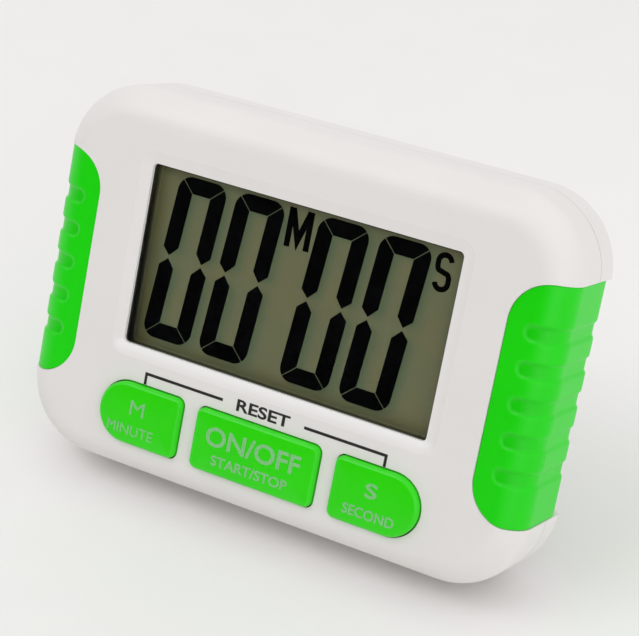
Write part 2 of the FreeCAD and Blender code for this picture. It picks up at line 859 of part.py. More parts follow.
def cell_spring():
    """The coil that presses the cell; it widens toward the left contact."""
    start_x = -bay_half_length + contact_plate
    end_x = bay_half_length - contact_plate - cell_length
    length = end_x - start_x - 2 * spring_wire
    points = []
    steps = int(spring_turns * 12)
    for number in range(steps + 1):
        part = number / steps
        radius = spring_back_radius + (spring_front_radius - spring_back_radius) * part
        angle = 2 * math.pi * spring_turns * part
        points.append(V(start_x + spring_wire + length * part,
                        cell_centre_y + radius * math.cos(angle),
                        cell_centre_z + radius * math.sin(angle)))
    curve = Part.BSplineCurve()
    curve.interpolate(points)
    path = Part.Wire([curve.toShape()])
    heading = curve.tangent(curve.FirstParameter)[0]
    section = Part.Wire([Part.makeCircle(spring_wire, points[0], heading)])
    return path.makePipeShell([section], True, True)


def battery_door():
    """The cell door: a panel whose round lower edge turns on two pins, with a snap rib on top."""
    half = door_half_width - door_gap
    panel = door_panel(door_gap, door_axis_y, 0.0, door_thickness)
    panel = panel.fuse(rod(door_thickness / 2, -half, half, door_axis_y, door_axis_z))
    panel = panel.fuse(door_pins(0.0))
    rib_y = door_top - door_gap + snap_rib_proud - snap_rib_radius
    panel = panel.fuse(rod(snap_rib_radius, -snap_rib_length / 2, snap_rib_length / 2, rib_y,
                           door_axis_z))
    for number in range(door_rib_count):
        y = door_top - door_rib_from_top - door_rib_pitch * number
        panel = panel.cut(rod(door_rib_radius, -door_rib_length / 2, door_rib_length / 2, y, 0.0))
    return panel


# ---- stand and magnets ----
def stand_angle():
    """How far the stand swings open so that its tip and the case edge share one floor."""
    lean = math.radians(lean_back)
    edge_y = -case_height / 2 + rear_round
    floor = edge_y * math.cos(lean) + rear_round * math.sin(lean) - rear_round
    tip_radius = stand_thickness / 2
    length = stand_hinge_y - stand_tip_y - tip_radius
    axis = stand_hinge_y * math.cos(lean) + stand_axis_z * math.sin(lean)
    return lean_back + math.degrees(math.acos((axis - tip_radius - floor) / length))


def stand():
    """The fold-out stand: a plate with round ends, pins at its top, ribs at its tip."""
    half = stand_width / 2
    tip = stand_thickness / 2
    z0 = stand_axis_z - tip
    z1 = stand_axis_z + tip
    leaf = box(-half, half, stand_tip_y + tip, stand_hinge_y, z0, z1)
    leaf = leaf.fuse(rod(tip, -half, half, stand_hinge_y, stand_axis_z))
    leaf = leaf.fuse(rod(tip, -half, half, stand_tip_y + tip, stand_axis_z))
    pins = rod(pin_radius, -half - pin_length, half + pin_length, stand_hinge_y, stand_axis_z)
    leaf = leaf.fuse(pins)
    side = half - stand_panel_border
    leaf = leaf.cut(plate(-side, side, stand_panel_bottom, stand_panel_top, z0 - 1,
                          z0 + stand_panel_depth, [stand_panel_corner] * 4))
    for number in range(stand_rib_count):
        y = stand_tip_y + stand_rib_from_tip + stand_rib_pitch * number
        leaf = leaf.cut(rod(stand_rib_radius, -stand_rib_half_length, stand_rib_half_length, y, z0))
    leaf.rotate(V(0, stand_hinge_y, stand_axis_z), ALONG_X, stand_angle())
    return leaf


# ---- wires ----
def wire(points):
    """An insulated wire through the points, each corner turned with a round bend."""
    edges = []
    start = points[0]
    for here, after in zip(points[1:-1], points[2:]):
        arrive = (here - start).normalize()
        leave = (after - here).normalize()
        first = here - arrive * wire_bend
        last = here + leave * wire_bend
        centre = first + leave * wire_bend
        middle = centre + (here - centre).normalize() * wire_bend
        edges.append(Part.makeLine(start, first))
        edges.append(Part.Arc(first, middle, last).toShape())
        start = last
    edges.append(Part.makeLine(start, points[-1]))
    path = Part.Wire(edges)
    heading = (points[1] - points[0]).normalize()
    section = Part.Wire([Part.makeCircle(wire_radius, points[0], heading)])
    return path.makePipeShell([section], True, False)


def wire_paths():
    """The four wires inside the case as lists of corner points."""
    board_end = board_back - joint_height
    supply = []
    pad_y = board_top_y - supply_pad_from_edge
    for side in (-1, 1):
        x = side * (tab_end - tab_joint_from_end)
        supply.append([V(x, cell_centre_y, tab_z - joint_height),
                       V(x, cell_centre_y, supply_wire_z),
                       V(x, pad_y, supply_wire_z), V(x, pad_y, board_end)])
    plate_top = inner_floor + sounder_ring_height + sounder_plate
    pad_y = board_top_y - sounder_pad_from_edge
    alarm = []
    for (x, y), z in ((ceramic_joint, plate_top + ceramic_thickness), (plate_joint, plate_top)):
        alarm.append([V(x, y, z + joint_height), V(x, y, sounder_wire_z),
                      V(x, pad_y, sounder_wire_z), V(x, pad_y, board_end)])
    return {"supply_wire_black": supply[0], "supply_wire_red": supply[1],
            "sounder_wire_red": alarm[0], "sounder_wire_black": alarm[1]}


def solder_joints():
    """A small solder cone at both ends of every wire."""
    cones = []
    for points in wire_paths().values():
        for end, inner in ((points[0], points[1]), (points[-1], points[-2])):
            away = (end - inner).normalize()
            cones.append(Part.makeCone(wire_radius + 0.05, joint_radius, joint_height, end, away))
    return Part.makeCompound(cones)


# ---- assembly ----
def all_nodes():
    """Every node of the object, still lying in the case frame."""
    nodes = {}
    nodes["front_case"] = front_case()
    nodes["rear_case"] = rear_case()
    nodes["right_grip"] = right_grip()
    nodes["left_grip"] = mirrored(nodes["right_grip"])
    for name in KEYS:
        nodes[name] = key(name)
        nodes[name.replace("key", "contact_pill")] = contact_pill(name)
    nodes["keypad_mat"] = keypad_mat()
    nodes["display_window"] = lens_plate(0.0, lens_back_z, lens_front_z)
    nodes["display_polariser"] = glass_sheet(rear_glass_bottom, front_glass_top_z,
                                             polariser_front_z)
    nodes["display_front_glass"] = glass_sheet(front_glass_bottom, front_glass_back_z,
                                               front_glass_top_z)
    nodes["display_rear_glass"] = glass_sheet(rear_glass_bottom, rear_glass_back_z,
                                              front_glass_back_z)
    nodes["display_reflector"] = glass_sheet(rear_glass_bottom, reflector_back_z,
                                             rear_glass_back_z)
    nodes["display_holder"] = display_holder()
    nodes["display_contact_strip"] = box(-strip_half_length, strip_half_length,
                                         strip_centre_y - rubber_strip_width / 2,
                                         strip_centre_y + rubber_strip_width / 2,
                                         board_front, front_glass_back_z)
    nodes["circuit_board"] = circuit_board()
    nodes["controller_blob"] = controller_blob()
    nodes["timing_crystal"] = crystal()
    nodes["chip_capacitors"] = chip_row(capacitor_count, capacitor_x, capacitor_y,
                                        capacitor_pitch, capacitor_size)
    nodes["chip_resistors"] = chip_row(resistor_count, resistor_x, resistor_y,
                                       resistor_pitch, resistor_size)
    nodes["sounder_coil"] = sounder_coil()
    nodes["sounder_transistor"] = transistor()
    nodes["board_screws"] = Part.makeCompound([board_screw(x, y) for x, y in board_screw_places()])
    nodes["case_screws"] = Part.makeCompound([case_screw(x, y) for x, y in
                                              four_corners(case_screw_x, case_screw_y)])
    ring_top = inner_floor + sounder_ring_height
    plate_top = ring_top + sounder_plate
    nodes["sounder_plate"] = post(sounder_radius, 0, sounder_y, ring_top, plate_top)
    nodes["sounder_ceramic"] = post(ceramic_radius, 0, sounder_y, plate_top,
                                    plate_top + ceramic_thickness)
    nodes["battery_cell"] = cell()
    nodes["positive_contact"] = contact(1)
    nodes["negative_contact"] = contact(-1)
    nodes["battery_spring"] = cell_spring()
    nodes["battery_door"] = battery_door()
    nodes["support_stand"] = stand()
    for side, name in ((-1, "left_magnet"), (1, "right_magnet")):
        nodes[name] = post(magnet_radius, side * magnet_x, magnet_y, 0, magnet_thickness)
    for name, points in wire_paths().items():
        nodes[name] = wire(points)
    nodes["solder_joints"] = solder_joints()
    return nodes


def stand_up(nodes):
    """Tips the case onto its lower rear edge and the stand, then centres it over the origin."""
    for shape in nodes.values():
        shape.rotate(V(0, 0, 0), ALONG_X, 90 - lean_back)
    limits = Part.makeCompound(list(nodes.values())).optimalBoundingBox(False, False)
    shift = V(-(limits.XMin + limits.XMax) / 2, -(limits.YMin + limits.YMax) / 2, -limits.ZMin)
    for shape in nodes.values():
        shape.translate(shift)
    return shift


os.makedirs("parts", exist_ok=True)
NODES = all_nodes()
SHIFT = stand_up(NODES)
print("stand opens by", round(stand_angle(), 3), "degrees; shift", SHIFT)
for node_name, node_shape in NODES.items():
    node_shape.exportStep("parts/" + node_name + ".step")
    solids = node_shape.Solids
    print(node_name, len(solids), "solids, volume", round(sum(s.Volume for s in solids), 2),
          "valid", all(s.isValid() for s in solids))
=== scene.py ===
# %% [markdown]
# # A kitchen timer, dressed for its portrait
# The timer's frame comes from CAD: every shell, key, screw and wire already has its size and place.
# This lesson loads that frame, sets up a small studio, mixes a finish for each material and makes
# the pieces whose looks need more than CAD gave them: finger grips, key caps, display figures and
# printed marks. Sizes in capitals are in millimetres, angles in degrees and colours in linear light.

# %% Load the frame
import json
import math

import bmesh
import bpy
import numpy as np
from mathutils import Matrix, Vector


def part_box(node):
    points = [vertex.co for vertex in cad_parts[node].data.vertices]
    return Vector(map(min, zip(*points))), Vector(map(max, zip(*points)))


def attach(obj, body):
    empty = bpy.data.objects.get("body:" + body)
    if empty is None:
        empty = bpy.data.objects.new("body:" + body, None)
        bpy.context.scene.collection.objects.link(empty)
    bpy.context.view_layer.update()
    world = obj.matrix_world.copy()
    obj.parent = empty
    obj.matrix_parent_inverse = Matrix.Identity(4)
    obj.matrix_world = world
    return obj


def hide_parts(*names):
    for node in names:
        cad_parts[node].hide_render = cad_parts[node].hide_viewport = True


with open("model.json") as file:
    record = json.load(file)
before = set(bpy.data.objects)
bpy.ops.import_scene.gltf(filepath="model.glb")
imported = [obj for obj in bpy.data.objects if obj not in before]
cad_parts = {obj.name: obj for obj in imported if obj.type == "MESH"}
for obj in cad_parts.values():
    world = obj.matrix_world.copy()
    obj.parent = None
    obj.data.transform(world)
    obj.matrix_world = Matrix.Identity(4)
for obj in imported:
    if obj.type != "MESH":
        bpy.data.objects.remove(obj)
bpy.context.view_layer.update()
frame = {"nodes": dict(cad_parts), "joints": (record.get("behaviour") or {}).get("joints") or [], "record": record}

MM = 0.001

# %% [markdown]
# The timer leans back on its stand, so its face is not upright. All pieces are easier to draw flat,
# in the case's own directions: x to the right, y up the face, z out of the face, in millimetres
# from the middle of the back. The press of a key gives the direction of z, and the shells give the
# middle, so the lesson follows the frame wherever it stands.

# %% The case's own directions
def joint(name):
    """The frame's joint of that name."""
    return next(j for j in frame["joints"] if j["name"] == name)


OUT = -np.array(joint("start_stop_key_press")["axis"], float)
OUT /= np.linalg.norm(OUT)
RIGHT = np.array([1.0, 0.0, 0.0])
UP = np.cross(OUT, RIGHT)


def corners(node):
    """All vertices of a CAD node, as an array of rows x, y, z in metres."""
    mesh = frame["nodes"][node].data
    flat = np.empty(len(mesh.vertices) * 3)
    mesh.vertices.foreach_get("co", flat)
    return flat.reshape(-1, 3)


def reach(node, direction):
    """Lowest and highest reach of a node along a direction, in metres."""
    along = corners(node) @ direction
    return along.min(), along.max()


ORIGIN = UP * sum(reach("front_case", UP)) / 2 + OUT * reach("rear_case", OUT)[0]


def place(x, y, z):
    """Case millimetres to metres in the frame: origin + x right + y up + z out, for whole arrays."""
    x, y, z = np.broadcast_arrays(*(np.asarray(v, float)[..., None] for v in (x, y, z)))
    return ORIGIN + (x * RIGHT + y * UP + z * OUT) * MM


def reach_mm(node, direction):
    """Lowest and highest reach of a node from the case's middle, in millimetres."""
    low, high = reach(node, direction)
    return (low - ORIGIN @ direction) / MM, (high - ORIGIN @ direction) / MM


HALF_WIDTH = reach_mm("front_case", RIGHT)[1]
HALF_HEIGHT = reach_mm("front_case", UP)[1]
FACE = reach_mm("front_case", OUT)[1]
LEAN = math.degrees(math.asin(OUT[2]))
print(f"case {2 * HALF_WIDTH:.1f} x {2 * HALF_HEIGHT:.1f} x {FACE:.1f} mm, leaning back {LEAN:.1f} degrees")

# %% [markdown]
# A product picture wants a long lens from a little distance, so that the parallel edges of the case
# stay nearly parallel. The camera looks down on the timer from its front right.

# %% The camera
def add(name, data):
    """A new object in the scene."""
    thing = bpy.data.objects.new(name, data)
    bpy.context.scene.collection.objects.link(thing)
    return thing


def look(azimuth, elevation):
    """Unit vector from the timer towards a viewer at that bearing and height in degrees."""
    a, e = math.radians(azimuth), math.radians(elevation)
    return Vector((math.sin(a) * math.cos(e), -math.cos(a) * math.cos(e), math.sin(e)))


LONG_LENS = 118.95
CAMERA_DISTANCE = 0.32237
CAMERA_BEARING = 30.415
CAMERA_HEIGHT = 32.51
AIM_POINT = (0.99, 1.015, 6.366)
NEAR_CLIP = 0.01

aim = Vector(place(*AIM_POINT))
towards_camera = look(CAMERA_BEARING, CAMERA_HEIGHT)
camera = add("camera", bpy.data.cameras.new("camera"))
camera.data.lens = LONG_LENS
camera.data.clip_start = NEAR_CLIP
camera.location = aim + towards_camera * CAMERA_DISTANCE
camera.rotation_euler = (-towards_camera).to_track_quat("-Z", "Y").to_euler()
bpy.context.scene.camera = camera
bpy.context.scene.view_settings.view_transform = "Standard"
print("camera at", [round(v, 4) for v in camera.location])

# %% [markdown]
# Soft light comes from large lamps close by, because the size of a lamp, seen from the timer, sets
# how soft its shadow is. A wide box hangs overhead, the strongest one stands at the left and draws
# the shadow to the right, and three weaker ones at the right keep that side from going grey.

# %% Soft lights
LAMP_DISTANCE = 1.2
# name, bearing and height in degrees, width and height in metres, watts
SOFT_BOXES = (
    ("overhead_box", 0, 88, 1.6, 1.6, 1.8),
    ("right_box", 45, 35, 0.8, 0.8, 0.7),
    ("left_box", -40, 50, 0.8, 0.8, 3.35),
    ("low_right_box", 52, 12, 0.8, 0.4, 1.2),
    ("far_right_box", 88, 10, 0.8, 0.4, 0.5),
)


def soft_box(name, azimuth, elevation, width, height, watts):
    """A rectangular area lamp that faces the timer from a bearing and height."""
    lamp = bpy.data.lights.new(name, "AREA")
    lamp.shape = "RECTANGLE"
    lamp.size = width
    lamp.size_y = height
    lamp.energy = watts
    thing = add(name, lamp)
    thing.location = aim + look(azimuth, elevation) * LAMP_DISTANCE
    thing.rotation_euler = (-look(azimuth, elevation)).to_track_quat("-Z", "Y").to_euler()


for row in SOFT_BOXES:
    soft_box(*row)
print("soft boxes:", ", ".join(row[0] for row in SOFT_BOXES))

# %% [markdown]
# Every finish is a small graph of shader nodes. Writing graphs by hand is slow to read, so one
# class wraps a socket and lets Python's own signs add the Math nodes: `1 - mask * 0.5` becomes two
# of them. Any other node comes from its `node` method, which sets the settings first and then the
# sockets.

# %% Shader maths as Python
class Signal:
    """One output of a shader node. + - * on it add Math nodes to the same material."""

    def __init__(self, socket):
        self.socket = socket
        self.tree = socket.id_data

    def node(self, kind, settings=None, inputs=None, output=0):
        """A new node of a kind: its settings first, then its sockets' values or links."""
        made = self.tree.nodes.new("ShaderNode" + kind)
        for name, value in (settings or {}).items():
            setattr(made, name, value)
        for key, value in (inputs or {}).items():
            if isinstance(value, Signal):
                self.tree.links.new(value.socket, made.inputs[key])
            else:
                made.inputs[key].default_value = value
        return Signal(made.outputs[output])

    def maths(self, operation, first, *rest):
        """A Math node of that operation on its inputs in order."""
        return self.node("Math", {"operation": operation}, dict(enumerate((first, *rest))))

    def __add__(self, other):
        return self.maths("ADD", self, other)

    def __mul__(self, other):
        return self.maths("MULTIPLY", self, other)

    def __sub__(self, other):
        return self.maths("SUBTRACT", self, other)

    def __rsub__(self, other):
        return self.maths("SUBTRACT", other, self)

    __radd__ = __add__
    __rmul__ = __mul__

    def step(self, low, high, to_low=0.0, to_high=1.0):
        """A smooth ramp from to_low to to_high while this value goes from low to high."""
        return self.node("MapRange", {"interpolation_type": "SMOOTHSTEP"},
                         {0: self, 1: low, 2: high, 3: to_low, 4: to_high})

    def blend(self, a, b):
        """Colour a where this value is 0 and colour b where it is 1."""
        a, b = (c if isinstance(c, Signal) else (*c, 1) for c in (a, b))
        return self.node("Mix", {"data_type": "RGBA"}, {0: self, 6: a, 7: b}, output=2)

    def along(self, direction, middle):
        """How far this position lies along a direction from a middle, in millimetres."""
        moved = self.node("VectorMath", {"operation": "SUBTRACT"}, {0: self, 1: tuple(middle)})
        scaled = tuple(float(v) / MM for v in direction)
        return self.node("VectorMath", {"operation": "DOT_PRODUCT"}, {0: moved, 1: scaled}, output=1)

    def noise(self, size_mm, detail=3.0, roughness=0.5, stretch=(1, 1, 1)):
        """Cloudy variation from 0 to 1 with features about size_mm across."""
        at = self
        if stretch != (1, 1, 1):
            at = self.node("VectorMath", {"operation": "MULTIPLY"}, {0: self, 1: stretch})
        return self.node("TexNoise", {}, {"Vector": at, "Scale": 1 / (size_mm * MM),
                                          "Detail": detail, "Roughness": roughness})


# %% [markdown]
# The rest of the light is the room itself. Display glass mirrors whatever stands low in front of
# it, and a bright room there would lay a grey veil over the black figures. In a studio a black
# cloth hangs at that spot; here the world's own strength falls to nothing round that direction.

# %% The room
ROOM_LIGHT = 0.82
DARK_INSIDE = 22
DARK_OUTSIDE = 52


def world_light(strength, dark_towards, dark_inside, dark_outside):
    """Even light from all round, but dark about one direction: a mask on the dot product with it."""
    world = bpy.data.worlds.new("studio_room")
    bpy.context.scene.world = world
    world.use_nodes = True
    where = Signal(world.node_tree.nodes.new("ShaderNodeTexCoord").outputs["Generated"])
    facing = where.node("VectorMath", {"operation": "DOT_PRODUCT"},
                        {0: where, 1: tuple(dark_towards)}, output=1)
    level = facing.step(math.cos(math.radians(dark_outside)), math.cos(math.radians(dark_inside)),
                        strength, 0.0)
    background = world.node_tree.nodes["Background"]
    background.inputs["Color"].default_value = (1.0, 1.0, 1.0, 1.0)
    world.node_tree.links.new(level.socket, background.inputs["Strength"])


mirrored_view = Vector(2 * np.dot(OUT, towards_camera) * OUT - np.array(towards_camera))
world_light(ROOM_LIGHT, mirrored_view, DARK_INSIDE, DARK_OUTSIDE)
print("the display mirrors", [round(v, 2) for v in mirrored_view])

# %% [markdown]
# A finish starts from the Principled shader. `finish` makes the material, hands its object
# coordinates to a recipe, and plugs what the recipe returns into the shader: plain numbers are set
# on the shader itself, and anything that varies is linked.

# %% The finish maker
CLOUD_SIZE = 14.0
RUB_SIZE = 5.0
GLOSS_SPREAD = 0.12


def finish(name, recipe, **plain):
    """A material whose recipe(position) returns {socket name: Signal}; plain values are set as they are."""
    material = bpy.data.materials.new(name)
    material.use_nodes = True
    tree = material.node_tree
    shader = tree.nodes["Principled BSDF"]
    for key, value in plain.items():
        socket = shader.inputs[key.replace("_", " ")]
        socket.default_value = (*value, 1) if isinstance(value, tuple) else value
    position = Signal(tree.nodes.new("ShaderNodeTexCoord").outputs["Object"])
    for key, value in recipe(position).items():
        tree.links.new(value.socket, shader.inputs[key])
    return material


def relief(height, distance_mm):
    """A bump from a height signal from 0 to 1 worth distance_mm."""
    return height.node("Bump", {}, {"Strength": 1.0, "Distance": distance_mm * MM, "Height": height})


def shade(colour, factor):
    """The colour made lighter or darker by a factor, kept inside 0 to 1."""
    return tuple(min(1.0, max(0.0, v * factor)) for v in colour)


def moulded(colour, roughness, grain_mm, grain_depth, cloud=0.03, wear=0.06):
    """Moulded plastic: a fine spark-eroded grain, faint clouds of colour and gloss, rubbed spots."""
    def recipe(position):
        grain = position.noise(grain_mm, 2.0, 0.6)
        clouds = position.noise(CLOUD_SIZE, 3.0).step(0.3, 0.7)
        wear_and_highlight = position.noise(RUB_SIZE, 4.0, 0.65).step(0.55, 0.75)
        return {"Base Color": clouds.blend(shade(colour, 1 - cloud), shade(colour, 1 + cloud)),
                "Roughness": roughness + (grain - 0.5) * GLOSS_SPREAD - wear_and_highlight * wear,
                "Normal": relief(grain, grain_depth)}
    return recipe


print("the clouds in moulded plastic are about", CLOUD_SIZE, "mm wide")

# %% [markdown]
# The shells are white ABS with a satin face: a tool eroded by sparks leaves pits a fifth of a
# millimetre across and a few thousandths deep. The green parts come from a smoother tool, so their
# pits are shallower and their gloss a little higher. A painted highlight, a brighter colour with a
# little more gloss, lies on the bevel under the window. It is placed by measuring from the window:
# beside and above its edges the distance is plain subtraction, and the larger of the two counts.

# %% Shell and grip plastics
WHITE = (0.80, 0.776, 0.757)
HIGHLIGHT_WHITE = (0.89, 0.88, 0.87)
GREEN = (0.007, 0.68, 0.0)
KEY_GREEN = (0.024, 0.69, 0.0)
WINDOW_X = (-26.5, 26.5)
WINDOW_Y = (-9.25, 19.25)
BEVEL = 1.9
SIDE_HIGHLIGHT = 0.3
BEVEL_GLOSS = 0.14
GROOVE_SHADE_TINT = 0.22


def shell_recipe(position):
    """Satin white, with a painted highlight and a little more gloss on the bevel under the window."""
    sockets = moulded(WHITE, 0.42, 0.22, 0.006, 0.01)(position)
    x = position.along(RIGHT, ORIGIN) - sum(WINDOW_X) / 2
    y = position.along(UP, ORIGIN) - sum(WINDOW_Y) / 2
    half_wide = (WINDOW_X[1] - WINDOW_X[0]) / 2
    half_high = (WINDOW_Y[1] - WINDOW_Y[0]) / 2
    beside = x.maths("ABSOLUTE", x) - half_wide
    above = y.maths("ABSOLUTE", y) - half_high
    outside = beside.maths("MAXIMUM", beside, above)
    under = (0 - y - half_high).step(-0.6, 0.0)
    right = (x - half_wide).step(-0.3, 0.0)
    # painted highlight: the base colour on the bevel under the window, and a little on its right, is blended
    # towards a brighter white
    wear_and_highlight = outside.step(0.1, BEVEL, 1.0, 0.0) * under.maths("MAXIMUM", under, right * SIDE_HIGHLIGHT)
    sockets["Base Color"] = wear_and_highlight.blend(sockets["Base Color"], HIGHLIGHT_WHITE)
    sockets["Roughness"] = sockets["Roughness"] - wear_and_highlight * BEVEL_GLOSS
    return sockets


def grip_recipe(position):
    """The grip's plastic, darker where painted shade lies in the grooves' front ends."""
    sockets = moulded(GREEN, 0.33, 0.3, 0.004, 0.02)(position)
    groove_shade = position.node("Attribute", {"attribute_name": "painted_groove_shade"}, output=2)
    # painted shade: the base colour in the grooves' front ends is blended towards a darker green
    sockets["Base Color"] = (groove_shade * GROOVE_SHADE_TINT).blend(sockets["Base Color"], shade(GREEN, 0.55))
    return sockets


finishes = {
    "white_shell": finish("white_satin_shell", shell_recipe),
    "green_key": finish("lime_green_key", moulded(KEY_GREEN, 0.3, 0.4, 0.003, 0.02, 0.03),
                        Specular_IOR_Level=0.4),
    "green_plastic": finish("lime_green_plastic", grip_recipe, Specular_IOR_Level=0.32),
    "holder_plastic": finish("white_tray_plastic", moulded((0.76, 0.76, 0.72), 0.5, 0.3, 0.01)),
    "black_mould": finish("black_moulding", moulded((0.02, 0.02, 0.022), 0.4, 0.15, 0.01, 0.2)),
}
print("finishes:", ", ".join(finishes))

# %% [markdown]
# A display is a stack: polariser, glass, liquid crystal, glass and a dull reflector. What shows is
# an olive grey sheet with a slow mottle, a fine satin grain, and darker edges where the frame of
# the window shades it. The window in front is clear, so it lets light through and only mirrors at
# its surface: a mix of a transparent and a mirror shader, which mirrors more at a slant.

# %% Display sheet, glass and window
FILM_WARM = (0.206, 0.192, 0.098)
FILM_GREEN = (0.185, 0.195, 0.105)
FILM_SHADE = (0.105, 0.150, 0.082)
FRAME_SHADE_BROWN = (0.050, 0.046, 0.001)
FRAME_SHADOW_BLACK = (0.004, 0.004, 0.003)
VIEW_X = (-27.05, 25.95)
VIEW_Y = (-9.55, 18.95)
SHADE_TINT = 0.85
MIRROR_AHEAD = 0.04


def sheet_recipe(position):
    """Olive film: mottled, green beside the figures, and painted shade of the window's frame, brown and then
    black, towards the frame.
    """
    x = position.along(RIGHT, ORIGIN)
    y = position.along(UP, ORIGIN)
    left, right = VIEW_X
    low, high = VIEW_Y
    mottle = position.noise(7.0, 4.0, 0.6).step(0.3, 0.72)
    speck = position.noise(0.35, 2.0)
    body = mottle.blend(FILM_GREEN, FILM_WARM)
    shade_mark = position.node("Attribute", {"attribute_name": "figure_shade"}, output=2)
    shaded = (shade_mark * SHADE_TINT + speck * 0.12).blend(body, FILM_SHADE)
    # painted shade of the window's frame: brown towards the left and lower edges, black close to the left edge and
    # in a thin line round the others
    brown = (x - left + y * 0.06).step(0.6, 5.6, 0.2, 1.0) * (y - low).step(0.2, 3.8, 0.62, 1.0)
    black = ((x - left + y * 0.035).step(0.45, 2.0) * (y - low).step(0.1, 0.5)
             * (high - y).step(0.05, 0.3) * (right - x).step(0.05, 0.3))
    return {"Base Color": black.blend(FRAME_SHADOW_BLACK, brown.blend(FRAME_SHADE_BROWN, shaded)),
            "Roughness": 0.36 + speck * 0.12,
            "Normal": relief(position.noise(0.12, 1.0), 0.002)}


def scuffed(position):
    """A polished sheet's gloss: faint scuffs, and a slow wave in the surface."""
    return {"Roughness": 0.03 + position.noise(3.0, 4.0, 0.7).step(0.5, 0.8) * 0.04,
            "Normal": relief(position.noise(6.0, 1.0), 0.004)}


def window_finish(name):
    """Clear acrylic: see-through, mixed with a mirror by the slant to the fifth power."""
    material = finish(name, scuffed, Base_Color=(0.9, 0.92, 0.9), IOR=1.49, Metallic=1.0)
    tree = material.node_tree
    start = Signal(tree.nodes["Principled BSDF"].outputs[0])
    slant = start.node("LayerWeight", {}, {"Blend": 0.5}, output=1)
    mirror = slant.maths("POWER", slant, 5.0) * (1 - MIRROR_AHEAD) + MIRROR_AHEAD
    clear = start.node("BsdfTransparent", {}, {"Color": (0.97, 0.98, 0.97, 1)})
    mix = start.node("MixShader", {}, {0: mirror, 1: clear, 2: start})
    tree.links.new(mix.socket, tree.nodes["Material Output"].inputs["Surface"])
    return material


finishes.update({
    "polariser_film": finish("olive_polariser", sheet_recipe),
    "clear_lens": window_finish("clear_window"),
    "display_glass": finish("thin_display_glass", moulded((0.30, 0.33, 0.27), 0.08, 2.0, 0.001),
                            Coat_Weight=0.4),
    "reflector_film": finish("dull_reflector", moulded((0.42, 0.43, 0.34), 0.38, 0.1, 0.004),
                             Metallic=0.6),
})
print("display finishes:", ", ".join(list(finishes)[-4:]))

# %% [markdown]
# Inside and at the back there are metals and rubbers. Rolled and plated metal is streaky, so its
# noise is stretched along one direction; rubber and silicone are matt with dust in their pores.

# %% Metals and rubbers
def plated(colour, roughness, streak=(1, 12, 1)):
    """Rolled or plated metal: fine streaks in gloss and colour, with small tarnished spots."""
    def recipe(position):
        streaks = position.noise(1.4, 4.0, 0.6, streak)
        spots = position.noise(1.1, 3.0, 0.7).step(0.58, 0.8)
        tarnish = (streaks + spots) * 0.5
        return {"Base Color": tarnish.blend(shade(colour, 1.05), shade(colour, 0.72)),
                "Roughness": roughness + streaks * 0.16 + spots * 0.12,
                "Normal": relief(streaks, 0.003)}
    return recipe


def dusty(colour, roughness, pore_mm=0.25, depth=0.012):
    """Rubber, ceramic or resin: matt, with pores and a paler bloom in patches."""
    def recipe(position):
        pores = position.noise(pore_mm, 3.0, 0.6)
        bloom = position.noise(3.0, 3.0).step(0.4, 0.8)
        return {"Base Color": bloom.blend(colour, shade(colour, 1.18)),
                "Roughness": roughness + (pores - 0.5) * 0.14,
                "Normal": relief(pores, depth)}
    return recipe


# %% [markdown]
# Two things inside carry a pattern. A circuit board is glass cloth under green lacquer, with
# copper tracks that show through as paler lines; a zigzag function of x and one of y, bent a
# little by noise, stand for them. The cell wears a printed film: dark, with a gold end.

# %% The board and the cell
BOARD_COPPER = (0.035, 0.23, 0.08)
BOARD_LACQUER = (0.014, 0.115, 0.042)
GOLD_BAND = 13.5
BAND_RING = 14.3


def laminate(position):
    """Green solder mask over copper: a raised weave, and tracks that show as lighter lines."""
    x = position.along(RIGHT, ORIGIN)
    y = position.along(UP, ORIGIN)
    wander = position.noise(5.0, 1.0)
    lines = x.maths("PINGPONG", x * 0.9 + wander * 5.0, 0.8)
    rows = y.maths("PINGPONG", y * 0.7 + wander * 3.0, 1.1)
    tracks = lines.step(0.12, 0.2) * rows.step(0.12, 0.2)
    weave = position.noise(0.35, 1.0)
    return {"Base Color": tracks.blend(BOARD_COPPER, BOARD_LACQUER),
            "Roughness": 0.3 + weave * 0.15,
            "Normal": relief(1 - tracks + weave * 0.2, 0.02)}


def sleeve(position):
    """The printed film on the cell: dark body, a gold band at the plus end, worn print."""
    x = position.along(RIGHT, ORIGIN)
    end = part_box("battery_cell")[1][0] / MM
    band = (x - (end - GOLD_BAND)).step(0.0, 0.15)
    wear = position.noise(1.6, 4.0, 0.7).step(0.6, 0.75)
    ring = 1 - x.maths("ABSOLUTE", x - (end - BAND_RING)).step(0.25, 0.35)
    printed = band.blend((0.016, 0.018, 0.024), (0.62, 0.38, 0.09))
    worn = wear.blend(printed, (0.3, 0.28, 0.24))
    return {"Base Color": (ring * 0.9).blend(worn, (0.75, 0.75, 0.72)),
            "Roughness": 0.24 + wear * 0.25,
            "Normal": relief(position.noise(2.5, 2.0), 0.01)}


# %% [markdown]
# Now every slot of the record gets its finish, and every node from CAD is dressed in the finish of
# its slot. The CAD shapes stay as they are.

